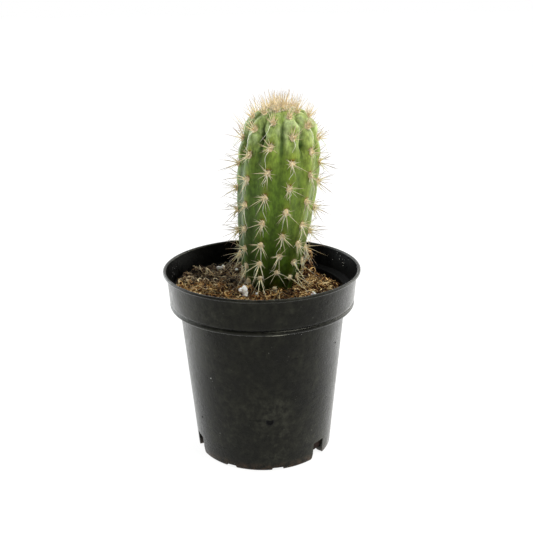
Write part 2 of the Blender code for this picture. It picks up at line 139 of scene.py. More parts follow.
def curve(points, x):
    """Smooth values at x on a curve through the points (x, y)."""
    xs, ys = np.array(points, float).T
    slopes = np.empty(len(xs))
    slopes[1:-1] = (ys[2:] - ys[:-2]) / (xs[2:] - xs[:-2])
    slopes[0] = (ys[1] - ys[0]) / (xs[1] - xs[0])
    slopes[-1] = (ys[-1] - ys[-2]) / (xs[-1] - xs[-2])
    x = np.clip(np.asarray(x, float), xs[0], xs[-1])
    k = np.clip(np.searchsorted(xs, x) - 1, 0, len(xs) - 2)
    width = xs[k + 1] - xs[k]
    t = (x - xs[k]) / width
    return ((2 * t ** 3 - 3 * t ** 2 + 1) * ys[k] + (t ** 3 - 2 * t ** 2 + t) * width * slopes[k]
            + (3 * t ** 2 - 2 * t ** 3) * ys[k + 1] + (t ** 3 - t ** 2) * width * slopes[k + 1])


def ease(x, low, high):
    """0 below low, 1 above high, smooth between."""
    t = np.clip((np.asarray(x, float) - low) / (high - low), 0, 1)
    return t * t * (3 - 2 * t)


def mix(a, b, share):
    share = np.asarray(share, float)[..., None]
    return a * (1 - share) + b * share


def corner_value(ix, iy, iz, seed):
    h = (ix * 73856093) ^ (iy * 19349663) ^ (iz * 83492791) ^ (seed * 50331653)
    h = (h ^ (h >> 13)) * 1274126177 & 0x7FFFFFFF
    h = (h ^ (h >> 16)) * 668265263 & 0x7FFFFFFF
    return (h & 0xFFFF) / 0x7FFF - 1.0


def noise(points, scale, seed=0):
    """Smooth value noise between -1 and 1 at an array of points; scale may differ per axis."""
    q = np.asarray(points, float) / scale
    cell = np.floor(q).astype(np.int64)
    f = q - cell
    f = f * f * (3 - 2 * f)
    total = np.zeros(q.shape[:-1])
    for dx in (0, 1):
        for dy in (0, 1):
            for dz in (0, 1):
                weight = (np.where(dx, f[..., 0], 1 - f[..., 0]) * np.where(dy, f[..., 1], 1 - f[..., 1])
                          * np.where(dz, f[..., 2], 1 - f[..., 2]))
                total += weight * corner_value(cell[..., 0] + dx, cell[..., 1] + dy, cell[..., 2] + dz, seed)
    return total


def make_piece(name, points, faces, mat, replaces=(), tint=None, smooth=True, sharp=None):
    """A mesh object from points in millimetres, with its colours per point in the attribute tint."""
    mesh = bpy.data.meshes.new(name)
    mesh.from_pydata((np.asarray(points, float) * MM).tolist(), [], faces)
    if tint is not None:
        attribute = mesh.color_attributes.new("tint", "FLOAT_COLOR", "POINT")
        colors = np.ones((len(points), 4))
        colors[:, :3] = tint
        attribute.data.foreach_set("color", colors.ravel())
    mesh.validate()
    if smooth:
        mesh.shade_smooth()
    if sharp is not None:
        mesh.set_sharp_from_angle(angle=math.radians(sharp))
    mesh.materials.append(mat)
    obj = bpy.data.objects.new(name, mesh)
    bpy.context.scene.collection.objects.link(obj)
    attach(obj, "root")
    if replaces:
        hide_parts(*replaces)
    return obj


def grid_faces(rows, columns, closed=True):
    """Quads of a grid of rows by columns of points, closed round or open."""
    faces = []
    span = columns if closed else columns - 1
    for r in range(rows - 1):
        for c in range(span):
            d = (c + 1) % columns
            faces.append((r * columns + c, r * columns + d, (r + 1) * columns + d, (r + 1) * columns + c))
    return faces


def tubes(paths, radii, sides, flat=1.0):
    """Closed tapered tubes along paths: arrays of (tube, step, xyz) and (tube, step). flat squashes their section."""
    paths = np.asarray(paths, float)
    count, steps = paths.shape[:2]
    along = np.gradient(paths, axis=1)
    along /= np.linalg.norm(along, axis=2, keepdims=True) + 1e-12
    helper = np.where(np.abs(along[:, :1, 2:3]) < 0.9, [[[0, 0, 1.0]]], [[[1.0, 0, 0]]])
    first = np.cross(along, np.broadcast_to(helper, along.shape))
    first /= np.linalg.norm(first, axis=2, keepdims=True) + 1e-12
    second = np.cross(along, first) * flat
    angles = 2 * np.pi * np.arange(sides) / sides
    ring = (first[:, :, None] * np.cos(angles)[:, None] + second[:, :, None] * np.sin(angles)[:, None])
    points = paths[:, :, None] + ring * np.asarray(radii)[:, :, None, None]
    points = points.reshape(-1, 3)
    one = []
    for k in range(steps - 1):
        for i in range(sides):
            j = (i + 1) % sides
            one.append((k * sides + i, k * sides + j, (k + 1) * sides + j, (k + 1) * sides + i))
    one.append(tuple(range(sides))[::-1])
    one.append(tuple((steps - 1) * sides + i for i in range(sides)))
    faces = []
    for t in range(count):
        base = t * steps * sides
        faces.extend(tuple(base + v for v in face) for face in one)
    return points, faces


def per_ring(values, sides):
    """Repeats values given per (tube, step) for each point of the tubes."""
    values = np.asarray(values, float)
    return np.repeat(values.reshape(-1, values.shape[-1]), sides, axis=0)


# Materials

def new_material(name):
    mat = bpy.data.materials.new(name)
    mat.use_nodes = True
    return mat, mat.node_tree.nodes, mat.node_tree.links, mat.node_tree.nodes["Principled BSDF"]


def noise_node(nodes, links, coordinates, scale, detail=4.0, roughness=0.6):
    made = nodes.new("ShaderNodeTexNoise")
    made.inputs["Scale"].default_value = scale
    made.inputs["Detail"].default_value = detail
    made.inputs["Roughness"].default_value = roughness
    links.new(coordinates, made.inputs["Vector"])
    return made.outputs["Fac"]


def ramp(nodes, links, source, *stops):
    """A colour ramp over source, with stops of (place, level or colour)."""
    made = nodes.new("ShaderNodeValToRGB")
    elements = made.color_ramp.elements
    while len(elements) < len(stops):
        elements.new(0.5)
    for element, (place, color) in zip(elements, stops):
        element.position = place
        level = (color,) * 3 if isinstance(color, (int, float)) else tuple(color)
        element.color = (*level, 1.0)
    links.new(source, made.inputs["Fac"])
    return made.outputs["Color"]


def blend_colors(nodes, links, first, second, factor=1.0, mode="MIX"):
    made = nodes.new("ShaderNodeMix")
    made.data_type = "RGBA"
    made.blend_type = mode
    for socket, value in ((made.inputs[6], first), (made.inputs[7], second), (made.inputs[0], factor)):
        if isinstance(value, bpy.types.NodeSocket):
            links.new(value, socket)
        elif socket.type == "RGBA":
            socket.default_value = (*value, 1.0)
        else:
            socket.default_value = value
    return made.outputs[2]


def stretched(nodes, links, scale):
    """Object coordinates, stretched by scale per axis."""
    place = nodes.new("ShaderNodeTexCoord")
    mapping = nodes.new("ShaderNodeMapping")
    mapping.inputs["Scale"].default_value = scale
    links.new(place.outputs["Object"], mapping.inputs["Vector"])
    return mapping.outputs["Vector"]


def map_range(nodes, links, source, low, high, to_low=0.0, to_high=1.0, smooth=True):
    made = nodes.new("ShaderNodeMapRange")
    made.interpolation_type = "SMOOTHSTEP" if smooth else "LINEAR"
    for name, value in (("From Min", low), ("From Max", high), ("To Min", to_low), ("To Max", to_high)):
        made.inputs[name].default_value = value
    links.new(source, made.inputs["Value"])
    return made.outputs["Result"]


def add_bump(nodes, links, shader, height, distance, strength=1.0):
    bump = nodes.new("ShaderNodeBump")
    bump.inputs["Distance"].default_value = distance
    bump.inputs["Strength"].default_value = strength
    links.new(height, bump.inputs["Height"])
    links.new(bump.outputs["Normal"], shader.inputs["Normal"])


def plastic_material(name, specular, lightness_and_dust):
    """Black plastic with faint clouds, smudges and specks of dust, and a painted brown highlight at the foot; a low
    second number makes a darker copy with painted shade.
    """
    mat, nodes, links, shader = new_material(name)
    even = stretched(nodes, links, (1, 1, 1))
    broad = noise_node(nodes, links, even, 42, 6, 0.7)
    blotch = noise_node(nodes, links, even, 330, 5, 0.75)
    # The second number scales the clouds, the dust and the sheen; a low one gives a darker copy with painted shade.
    cloud = ramp(nodes, links, broad, (0.40, (0.0008 + 0.0006 * lightness_and_dust,) * 3),
                 (0.52, (0.001 + 0.0040 * lightness_and_dust, 0.001 + 0.0042 * lightness_and_dust, 0.001 + 0.0024 * lightness_and_dust)),
                 (0.66, (0.001 + 0.0125 * lightness_and_dust, 0.001 + 0.0128 * lightness_and_dust, 0.001 + 0.0090 * lightness_and_dust)))
    grain = ramp(nodes, links, blotch, (0.38, 0.15), (0.62, 2.4))
    color = blend_colors(nodes, links, cloud, grain, 1.0, "MULTIPLY")
    dust = ramp(nodes, links, noise_node(nodes, links, even, 700, 2, 0.5), (0.745, 0.0), (0.79, 0.7 * lightness_and_dust))
    color = blend_colors(nodes, links, color, linear(120, 120, 112), dust)
    # A painted brown highlight on the wall's lowest few millimetres, in blotches.
    place = nodes.new("ShaderNodeTexCoord")
    split = nodes.new("ShaderNodeSeparateXYZ")
    links.new(place.outputs["Object"], split.inputs[0])
    low = map_range(nodes, links, split.outputs["Z"], 0.0005, 0.0055, 0.75, 0.0)
    painted_foot_highlight = blend_colors(nodes, links, ramp(nodes, links, blotch, (0.42, 0.0), (0.6, 1.0)), low, 1.0, "MULTIPLY")
    color = blend_colors(nodes, links, color, linear(74, 54, 40), painted_foot_highlight)
    links.new(color, shader.inputs["Base Color"])
    stipple = noise_node(nodes, links, even, 820, 3, 0.6)
    rough = blend_colors(nodes, links, ramp(nodes, links, broad, (0.35, 0.27), (0.65, 0.42)),
                         ramp(nodes, links, blotch, (0.38, 0.8), (0.62, 1.25)), 1.0, "MULTIPLY")
    links.new(rough, shader.inputs["Roughness"])
    shader.inputs["Specular IOR Level"].default_value = specular
    shader.inputs["Specular Tint"].default_value = (1.0, 1.0, 0.86, 1.0)
    shader.inputs["Sheen Weight"].default_value = 0.6 * lightness_and_dust
    shader.inputs["Sheen Roughness"].default_value = 0.28
    add_bump(nodes, links, shader, blend_colors(nodes, links, blotch, stipple, 0.45), 0.00026)
    return mat


def tinted_material(name, roughness, speckle_scale, speckle, bump, sheen=0.0, subsurface=0.0, specular=0.5):
    """Colour from the points' tint, with fine speckle and relief."""
    mat, nodes, links, shader = new_material(name)
    even = stretched(nodes, links, (1, 1, 1))
    tint = nodes.new("ShaderNodeAttribute")
    tint.attribute_name = "tint"
    fine = noise_node(nodes, links, even, speckle_scale, 4, 0.65)
    shade = ramp(nodes, links, fine, (0.3, 1 - speckle), (0.7, 1 + speckle))
    links.new(blend_colors(nodes, links, tint.outputs["Color"], shade, 1.0, "MULTIPLY"), shader.inputs["Base Color"])
    shader.inputs["Roughness"].default_value = roughness
    shader.inputs["Specular IOR Level"].default_value = specular
    shader.inputs["Sheen Weight"].default_value = sheen
    shader.inputs["Subsurface Weight"].default_value = subsurface
    shader.inputs["Subsurface Radius"].default_value = (1.0, 0.7, 0.3)
    shader.inputs["Subsurface Scale"].default_value = 0.001
    add_bump(nodes, links, shader, fine, bump)
    return mat


def skin_material():
    mat, nodes, links, shader = new_material("cactus_skin")
    tint = nodes.new("ShaderNodeAttribute")
    tint.attribute_name = "tint"
    streaks = noise_node(nodes, links, stretched(nodes, links, (1, 1, 0.16)), 1500, 3, 0.6)
    patches = noise_node(nodes, links, stretched(nodes, links, (1, 1, 0.7)), 420, 5, 0.7)
    pores = noise_node(nodes, links, stretched(nodes, links, (1, 1, 1)), 2600, 2, 0.5)
    color = blend_colors(nodes, links, tint.outputs["Color"],
                         ramp(nodes, links, streaks, (0.36, 0.86), (0.64, 1.15)), 1.0, "MULTIPLY")
    color = blend_colors(nodes, links, color, ramp(nodes, links, patches, (0.37, 0.70), (0.63, 1.34)), 1.0, "MULTIPLY")
    links.new(color, shader.inputs["Base Color"])
    links.new(ramp(nodes, links, patches, (0.3, 0.42), (0.7, 0.58)), shader.inputs["Roughness"])
    shader.inputs["Specular IOR Level"].default_value = 0.2
    shader.inputs["Specular Tint"].default_value = (1.0, 1.0, 0.8, 1.0)
    shader.inputs["Subsurface Weight"].default_value = 0.08
    shader.inputs["Subsurface Radius"].default_value = (0.6, 1.0, 0.2)
    shader.inputs["Subsurface Scale"].default_value = 0.0015
    relief = blend_colors(nodes, links, pores, streaks, 0.5)
    add_bump(nodes, links, shader, relief, 0.00022)
    return mat


# Pot

def pot_wall(height):
    """Outer radius of the pot's tapered wall at a height."""
    taper = (WALL_TOP_RADIUS - WALL_FOOT_RADIUS) / (COLLAR_FOOT - FOOT_HEIGHT)
    return WALL_FOOT_RADIUS + taper * (height - FOOT_HEIGHT)


def arc(centre, radius, first, last, steps):
    return [(centre[0] + radius * math.cos(math.radians(a)), centre[1] + radius * math.sin(math.radians(a)))
            for a in np.linspace(first, last, steps)]


def pot_profile():
    """From the middle of the floor's underside, up the outside, over the lip and down the inside."""
    ring_inside = WALL_FOOT_RADIUS - 1.2 - FOOT_RING
    profile = [(0.0, FOOT_HEIGHT), (12, FOOT_HEIGHT), (24, FOOT_HEIGHT), (ring_inside - 0.8, FOOT_HEIGHT)]
    profile += arc((ring_inside - 0.4, FOOT_HEIGHT - 0.4), 0.4, 90, 0, 4)
    profile += [(ring_inside, 0.3)] + arc((ring_inside + 0.3, 0.3), 0.3, 180, 270, 4)[1:]
    profile += arc((WALL_FOOT_RADIUS - 1.2, 1.2), 1.2, -90, 0, 7)
    profile += [(pot_wall(z), z) for z in np.linspace(4, COLLAR_FOOT, 40)]
    slot_top = LEDGE - WALL
    skirt = SHOULDER_RADIUS - COLLAR_WALL
    profile += [(pot_wall(slot_top - 0.5), slot_top - 0.5), (pot_wall(slot_top) + 0.4, slot_top)]
    profile += [(skirt - 0.4, slot_top + 0.3), (skirt, slot_top - 0.2), (skirt, COLLAR_FOOT + 0.65)]
    profile += arc((SHOULDER_RADIUS - 1.3, COLLAR_FOOT + 1.3), 1.3, -90, 60, 9)
    profile += [(GROOVE_RADIUS + 0.05, GROOVE_HEIGHT - 0.25), (GROOVE_RADIUS - 0.05, GROOVE_HEIGHT)]
    profile += [(GROOVE_RADIUS + 0.35, GROOVE_HEIGHT + 0.35), (GROOVE_RADIUS + 0.52, GROOVE_HEIGHT + 0.7)]
    collar_top = POT_HEIGHT - 2.2
    slope = (COLLAR_TOP_RADIUS - GROOVE_RADIUS - 0.52) / (collar_top - GROOVE_HEIGHT - 0.7)
    profile += [(GROOVE_RADIUS + 0.52 + slope * (z - GROOVE_HEIGHT - 0.7), z)
                for z in np.linspace(GROOVE_HEIGHT + 1.5, collar_top - 0.3, 10)]
    bead = 0.8
    profile += [(COLLAR_TOP_RADIUS + 0.05, collar_top), (COLLAR_TOP_RADIUS + 0.45, collar_top + 0.55)]
    profile += arc((LIP_RADIUS - bead, POT_HEIGHT - bead), bead, -75, 180, 15)
    profile += [(LIP_RADIUS - 2.0, collar_top + 0.3), (LIP_RADIUS - 2.6, collar_top - 2)]
    profile += [(skirt + 0.3, LEDGE + LEDGE_RISE + 2.0), (skirt + 0.05, LEDGE + LEDGE_RISE + 0.3)]
    profile += [(skirt - 0.3, LEDGE + LEDGE_RISE), (pot_wall(LEDGE) - WALL + 0.5, LEDGE + 0.1)]
    profile += [(pot_wall(LEDGE) - WALL, LEDGE - 0.35), (pot_wall(60) - WALL, 60), (pot_wall(30) - WALL, 30)]
    profile += [(pot_wall(FLOOR_TOP + 1.4) - WALL, FLOOR_TOP + 1.4)]
    profile += [(pot_wall(FLOOR_TOP) - WALL - 1.4, FLOOR_TOP), (18, FLOOR_TOP), (0.0, FLOOR_TOP)]
    return profile


def turned(profile, sides):
    points, faces, starts = [], [], []
    for radius, height in profile:
        starts.append(len(points))
        if radius == 0:
            points.append((0, 0, height))
            continue
        for i in range(sides):
            angle = 2 * math.pi * i / sides
            points.append((radius * math.cos(angle), radius * math.sin(angle), height))
    counts = [1 if radius == 0 else sides for radius, _ in profile]
    for k in range(len(profile) - 1):
        for i in range(sides):
            j = (i + 1) % sides
            low, high = starts[k], starts[k + 1]
            face = [low + i % counts[k], low + j % counts[k], high + j % counts[k + 1], high + i % counts[k + 1]]
            faces.append(tuple(dict.fromkeys(face)))
    return points, faces


def gap_cutter(outline, degrees):
    """A prism from just inside the foot ring outwards, for a gap or a notch."""
    angle = math.radians(degrees)
    out = np.array([math.sin(angle), -math.cos(angle), 0])
    across = np.array([math.cos(angle), math.sin(angle), 0])
    points = [(out * reach + across * x + np.array([0, 0, z])) * MM for reach in (32.5, 46.0) for x, z in outline]
    count = len(outline)
    faces = [(i, (i + 1) % count, count + (i + 1) % count, count + i) for i in range(count)]
    faces += [tuple(range(count))[::-1], tuple(range(count, 2 * count))]
    mesh = bpy.data.meshes.new("gap")
    mesh.from_pydata([tuple(p) for p in points], [], faces)
    bm = bmesh.new()
    bm.from_mesh(mesh)
    bmesh.ops.recalc_face_normals(bm, faces=bm.faces)
    bm.to_mesh(mesh)
    bm.free()
    return bpy.data.objects.new("gap", mesh)


def notch_outline():
    side = [(6.4, -1.0), (6.4, 0.0)]
    for a in np.linspace(0, 90, 9)[1:]:
        side.append((4.2 + 2.2 * (1 - math.sin(math.radians(a))), 4.4 * (1 - math.cos(math.radians(a)))))
    side += [(4.2, 9.4), (4.0, 9.85), (3.6, 10.0)]
    return side + [(-x, z) for x, z in reversed(side)]


def gap_outline():
    side = [(3.1, -1.0), (3.1, 0.9), (2.95, 1.3), (2.6, 1.5)]
    return side + [(-x, z) for x, z in reversed(side)]


def build_pot():
    profile = pot_profile()
    points, faces = turned(profile, POT_SIDES)
    pot = make_piece("pot_shell", points, faces, plastic_material("pot_plastic", 0.165, 1.0),
                     ("pot",))
    # The pot's inside takes a darker copy of the plastic with little specular: painted shade.
    pot.data.materials.append(plastic_material("pot_plastic_painted_shade_inside", 0.018, 0.03))
    rim = max(k for k, (radius, height) in enumerate(profile) if height > POT_HEIGHT - 1.2)
    inside = [int(k > rim * POT_SIDES) for k in range(len(faces))]
    pot.data.polygons.foreach_set("material_index", inside)
    cutters = bpy.data.collections.new("gaps")
    for k in range(9):
        cutters.objects.link(gap_cutter(notch_outline() if k % 3 == 1 else gap_outline(), 11 + 40 * k))
    modifier = pot.modifiers.new("gaps", "BOOLEAN")
    modifier.operation = "DIFFERENCE"
    modifier.operand_type = "COLLECTION"
    modifier.collection = cutters
    mesh = bpy.data.meshes.new_from_object(pot.evaluated_get(bpy.context.evaluated_depsgraph_get()))
    pot.modifiers.clear()
    pot.data = mesh
    mesh.shade_smooth()
    mesh.set_sharp_from_angle(angle=math.radians(38))
    for cutter in list(cutters.objects):
        bpy.data.objects.remove(cutter)
    bpy.data.collections.remove(cutters)


def on_wall(degrees, height, out=0.0):
    """A point on the pot's outside, degrees round from the front towards the right."""
    radius = (pot_wall(height) if height < COLLAR_FOOT else SHOULDER_RADIUS) + out
    angle = math.radians(degrees)
    return np.array([radius * math.sin(angle), -radius * math.cos(angle), height])


def build_pot_marks():
    """The gate mark of the moulding with painted shade in its middle, burrs on the wall, dark scratches and a painted
    highlight along the shoulder's edge.
    """
    mat = tinted_material("marked_plastic_and_painted_light", 0.5, 900, 0.2, 0.00002, specular=0.05)
    points, faces, colors = [], [], []
    middle = on_wall(4.4, 30.4)
    normal = on_wall(4.4, 31.4, 1.0) - on_wall(4.4, 31.4)
    across = np.cross([0, 0, 1.0], normal)
    upright = np.cross(normal, across)
    # The darker middle rings are painted shade of the gate's dimple.
    rings = [(2.25, -0.3, 24), (2.0, 0.06, 28), (1.75, 0.12, 30), (1.55, 0.06, 12), (0.9, 0.06, 14), (0.3, 0.07, 20)]
    for radius, out, tone in rings:
        for i in range(24):
            a = 2 * math.pi * i / 24
            points.append(middle + normal * out + radius * (across * math.cos(a) + upright * math.sin(a)))
            colors.append(linear(tone, tone, tone))
    faces += grid_faces(len(rings), 24)
    faces += [tuple(range(24))[::-1], tuple(range(len(points) - 24, len(points)))]
    shape, shape_faces = unit_lump(2)
    for degrees, height, size in BURRS:
        base = len(points)
        points.extend(shape * size * (1, 1, 1.6) + on_wall(degrees, height))
        colors.extend([linear(34, 32, 28)] * len(shape))
        faces += [tuple(base + v for v in face) for face in shape_faces]
    # The pale streak on the shoulder's edge is a painted highlight.
    for first, last, height, out, radius, tone in SCRATCHES_AND_GLINT:
        turns = np.linspace(first, last, 10)
        streak = np.array([[on_wall(a, height, out) for a in turns]])
        tube, tube_faces = tubes(streak, [radius * np.sin(np.linspace(0.3, 2.9, 10))], 6)
        base = len(points)
        points.extend(tube)
        colors.extend([linear(tone, tone, 0.92 * tone)] * len(tube))
        faces += [tuple(base + v for v in face) for face in tube_faces]
    make_piece("pot_marks", np.array(points), faces, mat, tint=np.array(colors))


# Dark scratches, and a painted highlight along the shoulder's lower edge: first and last degrees, height, standing
# out, radius, tone
SCRATCHES_AND_GLINT = [(1.5, 15.5, 82.35, -0.35, 0.17, 150), (-11.5, -1.5, 31.1, 0.0, 0.13, 10), (20, 27, 66.0, 0.0, 0.10, 12)]
BURRS = [(-92.0, 78.6, 0.5), (93.0, 36.0, 0.55), (62.0, 66.0, 0.3), (-58.0, 24.0, 0.3)]
# White specks on the pot: degrees from the front, height, size
WALL_SPECKS = [(-40.6, 52.0, 0.5), (-39.5, 50.4, 0.25), (26.0, 79.0, 0.2), (60.0, 79.5, 0.22), (150.0, 40.0, 0.3)]
INSIDE_SPECKS = [(116, 98.5, 16, 6, 2.6), (-98, 97.5, 9, 6, 2.2), (150, 97.0, 6, 25, 2.0), (40, 97.0, 6, 40, 2.0)]


def build_specks():
    """Dust of perlite on the wall, and more on the collar's inside."""
    mat = tinted_material("perlite_dust", 0.9, 900, 0.1, 0.00002, specular=0.2)
    shape, shape_faces = unit_lump(1)
    places = [(on_wall(degrees, height), size) for degrees, height, size in WALL_SPECKS]
    for degrees, height, count, spread, rise in INSIDE_SPECKS:
        for _ in range(count):
            turn = math.radians(degrees + rng.normal(0, spread))
            level = height + rng.uniform(-rise, rise)
            radius = SHOULDER_RADIUS - COLLAR_WALL + 0.118 * (level - LEDGE - LEDGE_RISE) + 0.05
            places.append((np.array([radius * math.sin(turn), -radius * math.cos(turn), level]),
                           rng.uniform(0.10, 0.30)))
    points, faces, colors = [], [], []
    for spot, size in places:
        base = len(points) * len(shape)
        body = shape * (size * rng.uniform(0.5, 1.0, 3)) * (1 + rng.uniform(-0.2, 0.2, (len(shape), 1)))
        points.append(body @ random_turn().T + spot)
        faces.extend(tuple(base + v for v in face) for face in shape_faces)
        colors.append(np.tile(linear(190, 192, 188) * rng.uniform(0.3, 1.0), (len(shape), 1)))
    make_piece("perlite_dust", np.concatenate(points), faces, mat, tint=np.concatenate(colors))


# Stem

def outline_table():
    heights = []
    for (low, _), (high, _) in zip(OUTLINE[:-1], OUTLINE[1:]):
        heights.extend(np.linspace(low, high, 24, endpoint=False))
    heights = np.array(heights + [OUTLINE[-1][0]])
    radii = curve(OUTLINE, heights)
    radii[-1] = 0
    lengths = np.concatenate([[0], np.cumsum(np.hypot(np.diff(heights), np.diff(radii)))])
    return lengths, heights, radii


LENGTHS, HEIGHTS, RADII = outline_table()
FULL_LENGTH = LENGTHS[-1]
AREOLES = {rib: np.interp(heights, HEIGHTS, LENGTHS) for rib, heights in AREOLE_HEIGHTS.items()}
# Young areoles crowd round the growing point
for _rib, _lengths in AREOLES.items():
    _top = _lengths[-1]
    _young = []
    while FULL_LENGTH - _top > 3.2:
        _top += max((FULL_LENGTH - _top) * 0.48, 2.6)
        if FULL_LENGTH - _top > 1.2:
            _young.append(_top)
    AREOLES[_rib] = np.concatenate([_lengths, _young])


def areole_shape(rib, length):
    """How a crest swells between areoles and dips just above each one, at lengths along it."""
    marks = AREOLES[rib]
    k = np.searchsorted(marks, length)
    below = marks[np.clip(k - 1, 0, len(marks) - 1)]
    above = marks[np.clip(k, 0, len(marks) - 1)]
    span = np.where(above > below, above - below, 10.0)
    share = np.clip((length - below) / span, 0, 1)
    share = np.where(k == 0, 0.5, share)
    swell = np.sin(np.pi * share) ** 0.8
    rise = length - below
    notch = np.exp(-((rise - 1.5) / 0.8) ** 2) * (k > 0)
    return swell, notch, share, rise


def skin(turn, length):
    """Points of the skin at a place round the stem, counted in ribs, and a length up it."""
    turn = np.asarray(turn, float)
    length = np.asarray(length, float)
    height = np.interp(length, LENGTHS, HEIGHTS)
    radius = np.interp(length, LENGTHS, RADII)
    twist = RIB_TWIST * (np.maximum(height, TWIST_END) - TWIST_CENTRE)
    azimuth = np.radians(RIB_AZIMUTH + twist + turn * 360 / RIBS)
    offset = turn - np.round(turn)
    valley = turn - np.floor(turn) - 0.5
    along = np.stack(np.broadcast_arrays(np.floor(turn) * 7.0, length * 0.0, length), -1)
    crowned = ease(height, 152, 170)
    wander = (0.03 + 0.12 * crowned) * noise(along, (1, 1, 4.2), 7)
    valley = valley + wander * np.cos(np.pi * valley) ** 2
    groove = ((1 + np.cos(2 * np.pi * valley)) / 2) ** curve(GROOVE_POWER, height)
    depth = curve(GROOVE_DEPTH, height) * (1 + 0.55 * crowned * noise(along, (1, 1, 3.4), 8))
    depth = np.minimum(depth, radius * 0.75)
    crest = np.cos(np.pi * offset) ** 2
    relief = np.zeros(np.broadcast(turn, length).shape)
    rib_of = np.round(turn).astype(int) % RIBS
    rib_of = np.broadcast_to(rib_of, relief.shape)
    long = np.broadcast_to(length, relief.shape)
    for rib in range(RIBS):
        chosen = rib_of == rib
        swell, notch, _, _ = areole_shape(rib, long[chosen])
        tall = np.broadcast_to(height, relief.shape)[chosen]
        size = 0.25 + 1.35 * ease(tall, 140, 174)
        size = size * (1 - 0.5 * ease(tall, 181, 186))
        middle = np.broadcast_to(crest, relief.shape)[chosen]
        relief[chosen] = size * (swell - 0.55) * middle ** 0.7 - 0.75 * size * notch * middle ** 3
    reach = radius - groove * depth
    lean = curve(LEAN, height)
    points = np.stack([lean + reach * np.sin(azimuth), STEM_BACK - reach * np.cos(azimuth),
                       height + 0 * reach], -1)
    slope = np.interp(length, LENGTHS, np.gradient(RADII, LENGTHS))
    rise = np.interp(length, LENGTHS, np.gradient(HEIGHTS, LENGTHS))
    normal = np.stack([rise * np.sin(azimuth), -rise * np.cos(azimuth), -slope + 0 * azimuth], -1)
    rough = 1 + 1.9 * ease(height, 158, 174)
    uneven = (0.20 * noise(points, 5.5, 3) + 0.11 * noise(points, (2.2, 2.2, 3.0), 4)) * rough
    fade = ease(FULL_LENGTH - length, 0.0, 3.0)
    return points + normal * ((relief + uneven) * fade)[..., None]


def skin_tint(turn, length, points):
    """The skin's colour: green, paler and yellower above, darker at the foot with painted shade, a painted highlight
    on the right, glaucous on the left with painted shade over the left half, and painted shade in the grooves.
    """
    height = points[..., 2]
    offset = turn - np.round(turn)
    groove = ((1 - np.cos(2 * np.pi * offset)) / 2)
    # Darker towards the foot: painted shade of the pot.
    foot = linear(42, 55, 4)
    low = linear(58, 82, 13)
    middle = linear(86, 112, 32)
    high = linear(124, 144, 58)
    color = mix(foot, low, ease(height, 92, 112))
    color = mix(color, middle, ease(height, 110, 138))
    color = mix(color, high, ease(height, 145, 176))
    facing = points[..., 0] - curve(LEAN, height)
    facing = facing / np.maximum(np.interp(length, LENGTHS, RADII), 1)
    # A painted highlight: lighter and yellower on the stem's right side.
    color = mix(color, linear(126, 139, 62), 0.55 * ease(facing, 0.1, 0.9) * ease(height, 100, 130))
    broad = noise(points, (6, 6, 14), 11)
    bands = noise(points, (3, 3, 22), 13)
    glaucous = ease(-facing, 0.42, 0.80) * (1 - 0.9 * ease(height, 140, 165)) * (0.75 + 0.25 * bands)
    color = mix(color, linear(54, 70, 48), np.clip(glaucous, 0, 1) * 0.65)
    # Painted shade: darker green over the stem's left half.
    color = mix(color, linear(62, 86, 26), 0.45 * ease(-facing, 0.05, 0.35))
    # Painted shade in the grooves, strongest in the narrow slits below the crown.
    groove_shade = ease(groove, 0.5, 1.0) * 0.26 + ease(groove, 0.85, 1.0) * 0.6 * ease(height, 158, 168)
    color = mix(color, linear(36, 62, 18), groove_shade * (1 - 0.8 * ease(height, 176, 182)))
    bloom = ease(height, 163, 178) * (0.35 + 0.65 * ease(noise(points, (2.2, 2.2, 4), 17), -0.25, 0.55))
    color = mix(color, linear(182, 198, 146), 0.62 * bloom * (1 - 0.5 * ease(groove, 0.8, 1.0)))
    mottle = 0.15 * broad + 0.13 * noise(points, (2.4, 2.4, 4.5), 19) + 0.12 * noise(points, (0.9, 0.9, 2.6), 23)
    mottle = mottle + 0.12 * noise(points, (0.7, 0.7, 7.0), 29)
    color = color * (1 + mottle)[..., None]
    rib_of = (np.round(turn).astype(int) % RIBS)
    for rib in range(RIBS):
        chosen = rib_of == rib
        _, _, _, rise = areole_shape(rib, length[chosen])
        circumference = 2 * np.pi * np.interp(length[chosen], LENGTHS, RADII) / RIBS
        side = offset[chosen] * circumference
        tall = ease(height[chosen], 112, 150)
        yellow = np.exp(-((rise - 3.4) / 2.4) ** 2 - (side / 1.6) ** 2) * (0.1 + 0.7 * tall)
        tall = tall * (1 - 0.8 * ease(height[chosen], 166, 176))
        orange = np.exp(-((rise - 1.7) / 0.75) ** 2 - (side / 1.2) ** 2) * (0.2 + 0.6 * tall)
        part = mix(color[chosen], linear(132, 146, 52), np.clip(yellow, 0, 1) * 0.8)
        color[chosen] = mix(part, linear(150, 98, 40), np.clip(orange, 0, 1))
    return np.clip(color, 0, 1)


def build_skin():
    columns = 22 * RIBS
    foot = np.interp(86, HEIGHTS, LENGTHS)
    lengths = np.concatenate([np.linspace(0, foot, 8, endpoint=False),
                              np.linspace(foot, FULL_LENGTH - 0.25, 300)])
    turn = np.arange(columns) / 22
    turn_grid, length_grid = np.meshgrid(turn, lengths)
    points = skin(turn_grid, length_grid)
    colors = skin_tint(turn_grid, length_grid, points)
    faces = grid_faces(len(lengths), columns)
    faces.append(tuple(range(columns))[::-1])
    faces.append(tuple((len(lengths) - 1) * columns + i for i in range(columns)))
    make_piece("cactus_stem", points.reshape(-1, 3), faces, skin_material(), ("cactus",),
               colors.reshape(-1, 3))


